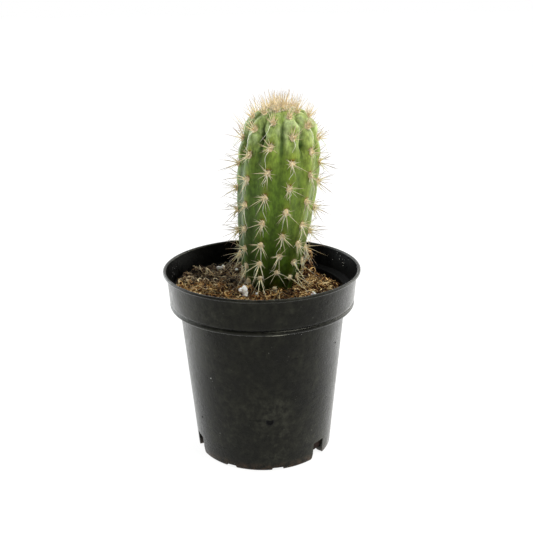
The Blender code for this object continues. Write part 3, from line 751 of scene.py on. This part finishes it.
def areole_frames():
    """Every areole's centre, outward normal, upward and sideways directions, height and rib."""
    frames = []
    for rib, lengths in AREOLES.items():
        for k, length in enumerate(lengths):
            step = 0.8
            turn = float(rib)
            spots = skin(np.array([turn, turn, turn, turn - 0.06, turn + 0.06]),
                         np.array([length, length - step, min(length + step, FULL_LENGTH - 0.05), length, length]))
            up = spots[2] - spots[1]
            up /= np.linalg.norm(up)
            across = spots[4] - spots[3]
            across /= np.linalg.norm(across)
            normal = np.cross(across, up)
            normal /= np.linalg.norm(normal)
            if np.dot(normal, spots[0] - np.array([*stem_centre(spots[0][2]), spots[0][2] - 6])) < 0:
                normal = -normal
            across = np.cross(up, normal)
            frames.append((spots[0], normal, up, across, spots[0][2], rib, FULL_LENGTH - length))
    return frames


def stem_centre(height):
    return float(curve(LEAN, height)), STEM_BACK


def build_areoles(frames):
    """Cream cushions of felt, each a dome with short wool standing on it."""
    points, faces, colors = [], [], []
    rings, around = 5, 14
    wool_paths, wool_radii, wool_colors = [], [], []
    for centre, normal, up, across, height, rib, below_top in frames:
        low = float(1 - ease(height, 98, 122))
        size = rng.uniform(1.35, 1.65) * (1 if below_top > 9 else 0.75) * (1 - 0.16 * low)
        tall = size * rng.uniform(0.55, 0.8)
        base = len(points)
        tone = rng.uniform(0.92, 1.08)
        skew = rng.uniform(0, 6.3, 2)
        for k in range(rings):
            angle = math.pi / 2 * k / (rings - 1) * 0.96
            for i in range(around):
                a = 2 * math.pi * i / around
                radius = size * math.cos(angle) * (1 + 0.12 * math.sin(2 * a + skew[0]) + 0.10 * math.sin(3 * a + skew[1]))
                spot = (centre - normal * 0.45 + across * radius * math.cos(a)
                        + up * radius * math.sin(a) * 1.12 + normal * (tall + 0.45) * math.sin(angle))
                points.append(spot)
                shade = mix(linear(218, 188, 136), linear(248, 234, 200), max(k / (rings - 1), 0.8 * low))
                colors.append(shade * tone)
        faces.extend(tuple(base + v for v in face) for face in grid_faces(rings, around))
        faces.append(tuple(base + (rings - 1) * around + i for i in range(around)))
        for _ in range(64):
            share = math.sqrt(rng.random()) * 1.02
            a = rng.uniform(0, 2 * math.pi)
            side = across * math.cos(a) + up * math.sin(a) * 1.1
            root = centre + side * size * share + normal * (tall * math.sqrt(max(1 - share ** 2, 0)) - 0.25)
            lean = side * share * 0.9 + normal * 0.9 + rng.normal(0, 0.35, 3)
            lean /= np.linalg.norm(lean)
            reach = rng.uniform(0.5, 1.15)
            wool_paths.append([root, root + lean * reach * 0.55, root + lean * reach + rng.normal(0, 0.1, 3)])
            wool_radii.append([0.09, 0.07, 0.025])
            shade = rng.uniform(0.85, 1.1)
            wool_colors.append([linear(234, 206, 160) * shade, linear(247, 232, 196) * shade,
                                linear(252, 244, 222) * shade])
    for _ in range(1100):
        root, out, reach = crown_spot(9.0)
        lean = np.array([0, 0, 1.0]) + out * reach * 0.08 + rng.normal(0, 0.3, 3)
        lean /= np.linalg.norm(lean)
        length = rng.uniform(0.8, 2.5)
        wool_paths.append([root, root + lean * length * 0.55, root + lean * length + rng.normal(0, 0.2, 3)])
        wool_radii.append([0.13, 0.10, 0.03])
        shade = rng.uniform(0.85, 1.08)
        wool_colors.append([linear(232, 212, 168) * shade, linear(246, 232, 198) * shade,
                            linear(250, 244, 224) * shade])
    mat = tinted_material("areole_felt", 0.95, 2400, 0.14, 0.00008, sheen=0.4, subsurface=0.1, specular=0.15)
    make_piece("areole_cushions", points, faces, mat, tint=np.array(colors))
    wool, wool_faces = tubes(wool_paths, wool_radii, 3)
    make_piece("areole_wool", wool, wool_faces, mat, tint=per_ring(wool_colors, 3))


# A spine's place round its areole: angle from straight up, rise from the skin, length, root radius
FAN = [(25, 36, 3.8, 0.12), (-30, 36, 4.0, 0.12), (62, 31, 5.0, 0.13), (-66, 31, 5.0, 0.13),
       (98, 29, 5.8, 0.14), (-100, 29, 5.8, 0.14), (132, 27, 6.8, 0.15), (-136, 27, 6.8, 0.15),
       (168, 25, 8.2, 0.16), (-160, 27, 7.6, 0.16), (8, 64, 9.0, 0.15), (-50, 62, 10.0, 0.16),
       (68, 60, 10.2, 0.16), (-110, 58, 11.0, 0.17), (120, 56, 11.2, 0.17), (-176, 50, 12.5, 0.18)]
SPINE_STEPS = 7
TUFT_SPINES = 30
TALL_TIPS = [(10.3, 0.5, 194.7), (1.7, 0.5, 193.6), (19.7, 0.5, 193.2), (5.6, 2.0, 192.6), (14.8, 2.5, 193.0),
             (8.0, 3.5, 193.4), (17.2, -1.0, 191.9)]
TUFT_RADIUS = 8.0


def spine_path(root, direction, length, droop, sway):
    """A slightly curved run of points; droop bends it down and sway to the side."""
    share = np.linspace(0, 1, SPINE_STEPS)[:, None]
    return root + direction * length * share + (droop + sway) * share ** 2


def spine_colors(crown, low=0.0, dark_from=0.45):
    """Pale horn with a creamy root and a darker tip, browner towards the crown, and paler by the soil: partly the
    spines' own colour, partly painted light against the pot's shade.
    """
    share = np.linspace(0, 1, SPINE_STEPS)
    root = mix(linear(242, 224, 176), linear(238, 214, 166), crown)
    middle = mix(linear(210, 200, 166), linear(230, 210, 174), 0.8 * crown)
    tip = mix(linear(104, 82, 74), linear(134, 106, 86), crown)
    middle = mix(middle, linear(240, 232, 190), low)
    tip = mix(tip, linear(206, 188, 160), low)
    color = mix(root, middle, ease(share, 0.0, 0.18))
    return mix(color, tip, ease(share, dark_from, 0.5 + dark_from)) * rng.uniform(0.85, 1.1)


def build_spines(frames):
    paths, radii, colors = [], [], []
    hair_paths, hair_radii, hair_colors = [], [], []
    taper = np.array([2.1, 1.25, 0.95, 0.78, 0.60, 0.38, 0.14])
    for centre, normal, up, across, height, rib, below_top in frames:
        crown = float(ease(height, 160, 178))
        low = float(1 - ease(height, 98, 122))
        young = below_top < 9
        for turn, rise, length, radius in FAN:
            if abs(turn) < 70 and low > 0.4 and rng.random() < 0.75:
                continue
            if rng.random() < (0.68 if young else 0.12 + (0.33 if abs(normal[0]) < 0.6 else 0.55) * low):
                continue
            outward = rise > 45
            turn = math.radians(turn + math.copysign(12 * low, turn) + rng.normal(0, 9))
            rise = math.radians(rise * (1 - 0.25 * low) + rng.normal(0, 8) + 12 * crown)
            length = length * rng.uniform(0.72, 1.1) * (1 + 0.42 * low) * (1 - 0.06 * crown)
            if young:
                length *= 0.8
            flat = math.cos(turn) * up + math.sin(turn) * across
            direction = math.cos(rise) * flat + math.sin(rise) * normal
            direction = direction + np.array([0, 0, 0.55 * crown + 0.4 * young])
            direction /= np.linalg.norm(direction)
            root = centre + flat * 0.55 + normal * (0.3 + 0.25 * (rise > 0.8))
            droop = np.array([0, 0, -1.0]) * length * rng.uniform(-0.03, 0.10) * (1 - crown)
            sway = across * length * rng.normal(0, 0.04)
            path = spine_path(root, direction, length, droop, sway)
            ground = soil_surface(path[:, 0], path[:, 1]) + 0.4
            path[:, 2] = np.maximum(path[:, 2], ground)
            paths.append(path)
            radii.append(taper * radius * rng.uniform(0.85, 1.12) * (1 - 0.12 * low))
            # Steep spines on the stem's left and right sides darken from a quarter of their length: painted shade.
            colors.append(spine_colors(crown, low, 0.25 if outward and abs(normal[0]) > 0.75 else 0.5))
        if 104 < height < 180 and rng.random() < 0.8:
            hair_paths.append(hair_path(centre, normal, up, across))
            hair_radii.append(np.linspace(0.22, 0.06, 14))
            hair_colors.append(np.tile(linear(222, 224, 198), (14, 1)))
    for root, direction, length in tuft_spines():
        sway = np.append(rng.normal(0, 0.06, 2) * length, 0)
        paths.append(spine_path(root, direction, length, np.zeros(3), sway))
        radii.append(taper * rng.uniform(0.10, 0.15))
        share = np.linspace(0, 1, SPINE_STEPS)
        pale = mix(linear(250, 238, 202), linear(238, 216, 170), ease(share, 0.0, 0.4))
        colors.append(mix(pale, linear(150, 118, 88), ease(share, 0.4, 1.0)) * rng.uniform(0.85, 1.1))
    mat = tinted_material("spine_horn", 0.45, 1800, 0.10, 0.00002, subsurface=0.15, specular=0.4)
    points, faces = tubes(paths, radii, 5)
    make_piece("spines", points, faces, mat, tint=per_ring(colors, 5))
    points, faces = tubes(hair_paths, hair_radii, 4)
    make_piece("trailing_hairs", points, faces, mat, tint=per_ring(hair_colors, 4))


def crown_spot(limit):
    """A place on the stem's domed end within limit of its middle, and the way out from the middle."""
    angle = rng.uniform(0, 2 * math.pi)
    reach = limit * math.sqrt(rng.random())
    height = float(np.interp(reach, [0, 5.6, 11.2, 15.8], [186.5, 185.8, 183.8, 179.8]))
    out = np.array([math.cos(angle), math.sin(angle), 0])
    return np.array([10.4, STEM_BACK, height - 0.3]) + out * reach, out, reach


def tuft_spines():
    """Thin young spines that stand up from the stem's end: some to given tips, the rest leaning out more towards the
    middle's edge.
    """
    made = []
    for tip in TALL_TIPS:
        root = np.array([10.4 + 0.55 * (tip[0] - 10.4), STEM_BACK - 1.0, 185.4])
        length = float(np.linalg.norm(np.array(tip) - root))
        made.append((root, (np.array(tip) - root) / length, length))
    for _ in range(TUFT_SPINES):
        root, out, reach = crown_spot(TUFT_RADIUS)
        direction = np.array([0, 0, 1.0]) + out * (0.15 + 0.5 * reach / TUFT_RADIUS) + rng.normal(0, 0.12, 3)
        direction /= np.linalg.norm(direction)
        made.append((root, direction, rng.uniform(2.6, 5.4) + 4.2 * rng.random() ** 3))
    return made


def hair_path(centre, normal, up, across):
    """A long pale bristle that arches out and trails down over the skin in waves."""
    steps = 14
    share = np.linspace(0, 1, steps)
    length = rng.uniform(5, 13)
    side = rng.choice([-1, 1]) * rng.uniform(0.0, 0.4)
    wave = rng.uniform(0.5, 1.3)
    phase = rng.uniform(0, 6.3)
    path = np.empty((steps, 3))
    for k, s in enumerate(share):
        out = 0.6 + 1.3 * math.sin(math.pi * min(s * 1.1, 1)) + 0.2 * s
        path[k] = (centre + normal * out - up * length * (s ** 1.15)
                   + across * (side * length * s + wave * math.sin(phase + 7 * s) * s))
    return path


# Soil

def cad_soil(x, y):
    """The plain form of the soil's surface."""
    reach = np.hypot(x - curve(LEAN, SOIL_LEVEL), y - STEM_BACK)
    mound = SOIL_MOUND * np.exp(-(reach / SOIL_MOUND_SPREAD) ** 2)
    relief = np.sin(x * 0.31 + 1.0) * np.cos(y * 0.27) + 0.6 * np.sin(x * 0.52 - y * 0.47 + 2.0)
    relief = relief * np.maximum(1 - (np.hypot(x, y) / WALL_TOP_RADIUS) ** 4, 0)
    return SOIL_LEVEL + SOIL_TILT * x + mound + SOIL_RELIEF * relief


def soil_surface(x, y):
    """The soil's surface with its lumps."""
    x, y = np.asarray(x, float), np.asarray(y, float)
    flat = np.stack([x, y, 0 * x], -1)
    lumps = 0.8 * noise(flat, 6.0, 31) + 1.15 * noise(flat, 3.1, 32) + 0.5 * noise(flat, 1.4, 33)
    front = 2.2 * np.exp(-((x + 5.5) / 5.0) ** 2 - ((y + 12.0) / 3.6) ** 2)
    return cad_soil(x, y) + lumps + front


def soil_edge(azimuth):
    """Radius and foot height of the soil's edge: on the wall, and out over the ledge where it is high."""
    out_x, out_y = np.cos(azimuth), np.sin(azimuth)
    wall = pot_wall(LEDGE) - WALL - 0.3
    level = cad_soil(out_x * wall, out_y * wall)
    foot = np.minimum(LEDGE, level - 0.8)
    spill = np.clip((level - LEDGE - LEDGE_RISE - 0.4) / SOIL_RELIEF, 0, 1)
    radius = wall + spill * (SHOULDER_RADIUS - COLLAR_WALL - 0.3 - wall)
    away = (np.degrees(azimuth) - BARE_LEDGE_MIDDLE + 180) % 360 - 180
    radius = radius - 2.6 * spill * np.exp(-(away / BARE_LEDGE_SPREAD) ** 4)
    height = foot + np.maximum(spill * (LEDGE + LEDGE_RISE + 0.3 - foot), 0.4)
    return radius, height, foot


def soil_tone(points):
    """Dark moist coir, greyer behind on the left, and darker further down with painted shade."""
    tone = linear(54, 30, 15) * np.ones(points.shape)
    tone = mix(tone, linear(16, 9, 5), ease(noise(points, 1.6, 41), -0.3, 0.5) * 0.9)
    tone = mix(tone, linear(100, 68, 40), ease(noise(points, 1.1, 42), 0.3, 0.9) * 0.6)
    tone = mix(tone, linear(50, 46, 38), grey_share(points) * 0.6)
    # Down to about a third at 80 mm: painted shade inside the pot, and damper coir.
    return tone * (0.35 + 0.65 * ease(points[..., 2], 80, 89))[..., None]


def grey_share(points):
    x, y = points[..., 0], points[..., 1]
    return ease(-x, 4, 16) * ease(y, -8, 8) * (0.7 + 0.3 * noise(points, 5.0, 43))


def build_soil_bed(mat):
    around, across = 300, 110
    azimuth = 2 * np.pi * np.arange(around) / around
    rim, rim_height, foot = soil_edge(azimuth)
    rings = []
    inside = [(pot_wall(FLOOR_TOP) - WALL - 1.9, FLOOR_TOP + 0.3), (pot_wall(FLOOR_TOP + 1.4) - WALL - 0.3, FLOOR_TOP + 1.7)]
    for radius, height in inside:
        rings.append(np.stack([radius * np.cos(azimuth), radius * np.sin(azimuth), np.full(around, height)], -1))
    wall = pot_wall(foot) - WALL - 0.3
    rings.append(np.stack([wall * np.cos(azimuth), wall * np.sin(azimuth), foot], -1))
    rings.append(np.stack([rim * np.cos(azimuth), rim * np.sin(azimuth), rim_height], -1))
    centre = np.array([float(curve(LEAN, SOIL_LEVEL)), STEM_BACK])
    for k in range(across + 1):
        share = k / across
        hole = centre[:, None] + 10.2 * np.stack([np.cos(azimuth), np.sin(azimuth)])
        x = rim * np.cos(azimuth) * (1 - share) + hole[0] * share
        y = rim * np.sin(azimuth) * (1 - share) + hole[1] * share
        z = np.maximum(soil_surface(x, y), rim_height + 0.1 if k < 3 else 0)
        rings.append(np.stack([x, y, z], -1))
    points = np.concatenate(rings)
    faces = grid_faces(len(rings), around)
    faces.append(tuple(range(around))[::-1])
    faces.append(tuple((len(rings) - 1) * around + i for i in range(around)))
    make_piece("soil_bed", points, faces, mat, ("soil",), soil_tone(points), smooth=True)


def unit_lump(levels):
    bm = bmesh.new()
    bmesh.ops.create_icosphere(bm, subdivisions=levels, radius=1.0)
    points = np.array([vert.co[:] for vert in bm.verts])
    faces = [tuple(vert.index for vert in face.verts) for face in bm.faces]
    bm.free()
    return points, faces


def random_turn():
    q = rng.normal(size=4)
    q /= np.linalg.norm(q)
    w, x, y, z = q
    return np.array([[1 - 2 * (y * y + z * z), 2 * (x * y - z * w), 2 * (x * z + y * w)],
                     [2 * (x * y + z * w), 1 - 2 * (x * x + z * z), 2 * (y * z - x * w)],
                     [2 * (x * z - y * w), 2 * (y * z + x * w), 1 - 2 * (x * x + y * y)]])


def soil_spot(margin=1.0):
    """A place on the open soil, clear of the stem."""
    while True:
        angle = rng.uniform(0, 2 * math.pi)
        limit = float(soil_edge(np.array(angle))[0]) - margin
        reach = limit * math.sqrt(rng.random())
        x, y = reach * math.cos(angle), reach * math.sin(angle)
        if math.hypot(x - 4.2, y - STEM_BACK) > 11.3:
            return x, y


def on_clump():
    """A place on the clump of coir at the stem's right, with its outward direction."""
    k = rng.integers(0, len(CLUMP))
    x, y, z, half = CLUMP[k]
    out = rng.normal(size=3)
    out /= np.linalg.norm(out)
    return np.array([x, y, z]) + out * np.array([half * 0.8, half * 0.8, half]), out


CRUMB_TONES = [(22, 12, 7), (58, 33, 17), (100, 66, 35), (150, 112, 64), (202, 168, 110), (236, 212, 160)]


def hollow_shade(spot):
    """Darker in the hollows between the lumps of soil."""
    flat = np.array([spot[0], spot[1], 0.0])
    return 0.24 + 1.0 * float(ease(noise(flat, 3.1, 32) + 0.4 * noise(flat, 1.4, 33), -0.55, 0.45))


def crumb_tone(spot, weights):
    """A random coir tone, greyer where the soil is."""
    tone = linear(*CRUMB_TONES[rng.choice(6, p=weights)]) * rng.uniform(0.8, 1.25) * hollow_shade(spot)
    return mix(tone, np.full(3, tone.mean()) * np.array([1.05, 0.99, 0.82]), float(grey_share(spot)) * 0.75)


def build_crumbs(mat):
    shape, shape_faces = unit_lump(1)
    points, faces, colors = [], [], []
    for k in range(600):
        if k < 60:
            spot, out = on_clump()
            size = rng.uniform(0.5, 1.2)
        else:
            x, y = soil_spot()
            spot = np.array([x, y, float(soil_surface(x, y))])
            size = rng.gamma(3.0, 0.22) + 0.2
        body = shape * (1 + rng.uniform(-0.25, 0.2, (len(shape), 1)))
        body = body * np.array([1.0, rng.uniform(0.5, 0.95), rng.uniform(0.35, 0.8)]) * min(size, 2.2)
        body = body @ random_turn().T
        base = len(points) * len(shape)
        points.append(body + spot + np.array([0, 0, size * rng.uniform(-0.1, 0.35)]))
        faces.extend(tuple(base + v for v in face) for face in shape_faces)
        tone = crumb_tone(spot, (0.26, 0.26, 0.22, 0.14, 0.09, 0.03))
        if rng.random() < 0.03:
            tone = linear(226, 222, 212)
        colors.append(np.tile(tone, (len(shape), 1)))
    make_piece("soil_crumbs", np.concatenate(points), faces, mat, tint=np.concatenate(colors),
               smooth=False)


def build_curls(mat):
    """Short curled shreds of coir, heaped over the soil and the clump."""
    steps = 6
    share = np.linspace(-0.5, 0.5, steps)
    paths, radii, colors = [], [], []
    for k in range(2300):
        if k < 220:
            spot, out = on_clump()
            spot = spot + out * rng.uniform(-0.1, 0.5)
        else:
            x, y = soil_spot(1.6)
            spot = np.array([x, y, float(soil_surface(x, y)) + rng.uniform(-0.1, 1.3)])
        length = rng.uniform(1.6, 5.6)
        bend = rng.uniform(0.6, 4.6)
        angles = bend * share
        local = np.stack([np.sin(angles) / bend, (1 - np.cos(angles)) / bend, 0.12 * share * rng.normal()], -1)
        turn = random_turn()
        path = (local * length) @ turn.T
        path[:, 2] *= 0.75
        paths.append(spot + path)
        radii.append((0.16 + 0.46 * rng.random() ** 1.5) * np.array([0.55, 0.9, 1.0, 1.0, 0.85, 0.45]))
        tone = crumb_tone(spot, (0.12, 0.14, 0.18, 0.22, 0.21, 0.13))
        colors.append(tone * (0.8 + 0.4 * rng.random((steps, 1))))
    points, faces = tubes(paths, radii, 4, rng.uniform(0.35, 0.8, (len(paths), 1, 1)))
    make_piece("coir_curls", points, faces, mat, tint=per_ring(colors, 4), smooth=False)


def build_fibres(mat):
    """Curly coir fibres that lie over the soil and stick out of it and of the clump."""
    steps = 9
    share = np.linspace(0, 1, steps)
    paths, radii, colors = [], [], []
    for k in range(2700):
        heading = rng.uniform(0, 2 * math.pi)
        bend = rng.normal(0, 2.8)
        length = rng.gamma(2.6, 1.6) + 2.2
        angles = heading + bend * share + 0.5 * np.sin(share * rng.uniform(3, 9) + rng.uniform(0, 6))
        step = length / (steps - 1)
        run_x = np.concatenate([[0], np.cumsum(np.cos(angles[:-1]) * step)])
        run_y = np.concatenate([[0], np.cumsum(np.sin(angles[:-1]) * step)])
        if k < 260:
            spot, out = on_clump()
            side = np.cross(out, [0, 0, 1.0]) + 1e-6
            side /= np.linalg.norm(side)
            top = np.cross(side, out)
            path = spot + (run_x - run_x.mean())[:, None] * side * 0.6 + (run_y - run_y.mean())[:, None] * top * 0.6
            path = path + out * (0.2 + 1.0 * np.sin(np.pi * share))[:, None]
        else:
            x, y = soil_spot(1.5)
            path = np.stack([x + run_x - run_x.mean(), y + run_y - run_y.mean(), 0 * run_x], -1)
            reach = np.hypot(path[:, 0], path[:, 1])
            limit = soil_edge(np.arctan2(path[:, 1], path[:, 0]))[0] - 0.6
            path[:, :2] *= np.minimum(1, limit / np.maximum(reach, 1))[:, None]
            lift = rng.uniform(0.1, 1.1) + rng.uniform(0.0, 1.9) * np.sin(np.pi * share) ** 1.5
            if rng.random() < 0.12:
                lift = lift + rng.uniform(1.0, 3.2) * share ** 2
            path[:, 2] = soil_surface(path[:, 0], path[:, 1]) * 0.5 + soil_surface(x, y) * 0.5 + lift
            path[:, 2] = np.maximum(path[:, 2], soil_surface(path[:, 0], path[:, 1]) + 0.05)
        paths.append(path)
        radii.append(rng.uniform(0.09, 0.23) * np.array([0.5, 0.9, 1.0, 1.0, 1.0, 0.95, 0.85, 0.7, 0.35]))
        colors.append(np.tile(crumb_tone(path[0], (0.05, 0.11, 0.20, 0.26, 0.24, 0.14)), (steps, 1)))
    for _ in range(90):
        # Pale rootlets gather at the stem's left
        x, y = rng.normal(-9.0, 3.2), rng.normal(-1.0, 3.6)
        turn = rng.uniform(0, 2 * math.pi)
        length = rng.uniform(2.5, 6.5)
        bow = rng.normal(0, 0.25)
        run = length * (share - 0.5)
        side = bow * length * (1 - (2 * share - 1) ** 2)
        path = np.stack([x + run * math.cos(turn) - side * math.sin(turn),
                         y + run * math.sin(turn) + side * math.cos(turn), 0 * run], -1)
        path[:, 2] = soil_surface(path[:, 0], path[:, 1]) + rng.uniform(0.4, 1.6) + rng.uniform(-1.2, 3.0) * share
        paths.append(path)
        radii.append(rng.uniform(0.07, 0.14) * np.array([0.5, 0.9, 1.0, 1.0, 1.0, 0.95, 0.85, 0.7, 0.35]))
        colors.append(np.tile(linear(176, 168, 148) * rng.uniform(0.5, 1.2), (steps, 1)))
    points, faces = tubes(paths, radii, 3)
    make_piece("coir_fibres", points, faces, mat, tint=per_ring(colors, 3))


def build_clump(mat):
    """The clump of coir against the stem's right side."""
    shape, shape_faces = unit_lump(4)
    points, faces = [], []
    for k, (x, y, z, half) in enumerate(CLUMP):
        body = shape * np.array([half * 0.8, half * 0.8, half])
        body = body * (1 + 0.16 * noise(body + 9 * k, 2.6, 51) + 0.10 * noise(body + 9 * k, 1.1, 52))[:, None]
        base = len(points) * len(shape)
        points.append(body + np.array([x, y, z]))
        faces.extend(tuple(base + v for v in face) for face in shape_faces)
    points = np.concatenate(points)
    make_piece("coir_clump", points, faces, mat, tint=soil_tone(points))


def lobed(directions, lobes):
    """How far a union of ellipsoids (centre, half axes) reaches in each direction from the origin."""
    reach = np.full(len(directions), 0.25)
    for lobe in lobes:
        centre, half = np.array(lobe[:3]), np.array(lobe[3:])
        ray, offset = directions / half, -centre / half
        a, b, c = (ray ** 2).sum(1), (ray * offset).sum(1), (offset ** 2).sum() - 1
        inside = b * b - a * c
        far = (-b + np.sqrt(np.maximum(inside, 0))) / a
        reach = np.where(inside > 0, np.maximum(reach, far), reach)
    return reach


# Lobes of the grains whose form is seen, in millimetres from the grain's middle: centre, half axes
GRAIN_LOBES = {1: [(-0.3, 0, -0.2, 1.9, 1.5, 1.6), (1.2, 0, 1.2, 0.9, 0.9, 1.3), (-1.2, -0.5, 0.5, 1.0, 1, 1.2)],
               3: [(0.5, 0, 0.9, 1.6, 1.6, 2.6), (0.9, -0.3, -1.5, 1.5, 1.5, 2.2), (-1.3, 0, 1.0, 1.1, 1.1, 1.3)]}


def build_perlite():
    mat = tinted_material("perlite_foam", 0.9, 1500, 0.05, 0.00012, sheen=0.5, subsurface=0.15, specular=0.4)
    shape, shape_faces = unit_lump(5)
    for k in range(1, 8):
        low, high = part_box(f"perlite_grain_{k}")
        low, high = np.array(low) / MM, np.array(high) / MM
        half = (high - low) / 2
        lobes = GRAIN_LOBES.get(k)
        if lobes is None:
            lobes = []
            for _ in range(5):
                out = rng.normal(size=3)
                out *= 0.42 / np.linalg.norm(out)
                lobes.append((*(out * half), *(half * rng.uniform(0.42, 0.68, 3))))
        reach = lobed(shape, lobes)
        reach = reach * (1 + 0.15 * noise(shape, 0.34, 60 + k) + 0.11 * noise(shape, 0.15, 70 + k))
        points = shape * reach[:, None] + (low + high) / 2 - np.array([0, 0, 0.3])
        # Greyer in the pits of the foam: painted shade.
        pit_shade = ease(noise(points, 0.55, 80 + k), 0.1, 0.8)
        colors = mix(linear(250, 250, 247) * np.ones((len(shape), 3)), linear(196, 190, 176), 0.5 * pit_shade)
        if k in (1, 2):
            colors = colors * linear(250, 250, 246)
        make_piece(f"perlite_{k}", points, shape_faces, mat, (f"perlite_grain_{k}",), colors)


# Stage

def build_floor():
    bpy.ops.mesh.primitive_plane_add(size=12, location=(0, 0, 0))
    floor = bpy.context.active_object
    floor.name = "floor"
    mat, nodes, links, shader = new_material("pale_floor_with_glowing_sides")
    shader.inputs["Base Color"].default_value = (0.15, 0.15, 0.145, 1)
    shader.inputs["Roughness"].default_value = 0.8
    shader.inputs["Specular IOR Level"].default_value = 0.1
    shader.inputs["Emission Color"].default_value = (1, 1, 1, 1)
    place = nodes.new("ShaderNodeTexCoord")
    split = nodes.new("ShaderNodeSeparateXYZ")
    links.new(place.outputs["Object"], split.inputs[0])
    side = nodes.new("ShaderNodeMath")
    side.operation = "ABSOLUTE"
    links.new(split.outputs["X"], side.inputs[0])
    # Bands of the floor at both sides behind the pot glow up to SIDE_GLOW: painted light on the stem and the pot from
    # the sides; elsewhere the floor is evenly bright.
    near = map_range(nodes, links, side.outputs[0], 0.10, 0.15)
    far = map_range(nodes, links, side.outputs[0], 0.32, 0.42, 1.0, 0.0)
    behind = map_range(nodes, links, split.outputs["Y"], -0.06, 0.0)
    glow = near
    for band in (far, behind):
        product = nodes.new("ShaderNodeMath")
        product.operation = "MULTIPLY"
        links.new(glow, product.inputs[0])
        links.new(band, product.inputs[1])
        glow = product.outputs[0]
    links.new(map_range(nodes, links, glow, 0.0, 1.0, 0.90, SIDE_GLOW, smooth=False), shader.inputs["Emission Strength"])
    floor.data.materials.append(mat)


def build_world():
    """White all round at eye level and below, and dimmer overhead on the camera's side."""
    world = bpy.data.worlds.new("studio")
    bpy.context.scene.world = world
    world.use_nodes = True
    nodes, links = world.node_tree.nodes, world.node_tree.links
    place = nodes.new("ShaderNodeTexCoord")
    split = nodes.new("ShaderNodeSeparateXYZ")
    links.new(place.outputs["Generated"], split.inputs[0])
    front = map_range(nodes, links, split.outputs["Y"], 0.35, -0.45)
    high = map_range(nodes, links, split.outputs["Z"], 0.06, 0.30)
    dim = nodes.new("ShaderNodeMath")
    dim.operation = "MULTIPLY"
    links.new(front, dim.inputs[0])
    links.new(high, dim.inputs[1])
    strength = map_range(nodes, links, dim.outputs[0], 0.0, 1.0, 1.0, FRONT_SKY, smooth=False)
    links.new(strength, nodes["Background"].inputs["Strength"])
    nodes["Background"].inputs["Color"].default_value = (1, 1, 1, 1)


def add_light(name, place, size, power, target=(0, 0, 0.13), color=(1, 1, 1)):
    data = bpy.data.lights.new(name, "AREA")
    data.size = size
    data.energy = power
    data.color = color
    light = bpy.data.objects.new(name, data)
    light.location = place
    light.rotation_euler = (Vector(place) - Vector(target)).to_track_quat("Z", "Y").to_euler()
    bpy.context.scene.collection.objects.link(light)


def build_camera():
    """The photograph's own viewpoint."""
    forward = Vector((math.sin(CAMERA_YAW) * math.cos(CAMERA_PITCH), math.cos(CAMERA_YAW) * math.cos(CAMERA_PITCH),
                      -math.sin(CAMERA_PITCH)))
    level = Vector((math.cos(CAMERA_YAW), -math.sin(CAMERA_YAW), 0))
    upright = level.cross(forward)
    right = math.cos(CAMERA_ROLL) * level + math.sin(CAMERA_ROLL) * upright
    up = -math.sin(CAMERA_ROLL) * level + math.cos(CAMERA_ROLL) * upright
    data = bpy.data.cameras.new("camera")
    data.sensor_width = 36
    data.lens = 36 * PHOTO_FOCAL / PHOTO_SIZE
    data.clip_start = 0.01
    camera = bpy.data.objects.new("camera", data)
    place = Matrix((right, up, -forward)).transposed().to_4x4()
    place.translation = Vector(CAMERA_PLACE)
    camera.matrix_world = place
    bpy.context.scene.collection.objects.link(camera)
    bpy.context.scene.camera = camera


build_camera()
build_world()
build_floor()
add_light("key", (0.40, -0.35, 0.90), 0.22, 6.0, color=(1.0, 0.985, 0.95))
add_light("rear_left", (-0.95, 0.70, 0.35), 0.9, 14.5, color=(0.93, 0.98, 1.0))
add_light("rear_right", (1.05, 0.60, 0.35), 0.9, 14.0, color=(1.0, 1.0, 0.94))
bpy.context.scene.view_settings.view_transform = "Standard"

build_pot()
build_pot_marks()
build_specks()
build_skin()
FRAMES = areole_frames()
build_areoles(FRAMES)
build_spines(FRAMES)
earth = tinted_material("coir", 0.95, 1400, 0.3, 0.00025, specular=0.2)
build_soil_bed(earth)
build_clump(earth)
build_crumbs(earth)
build_curls(earth)
build_fibres(earth)
build_perlite()
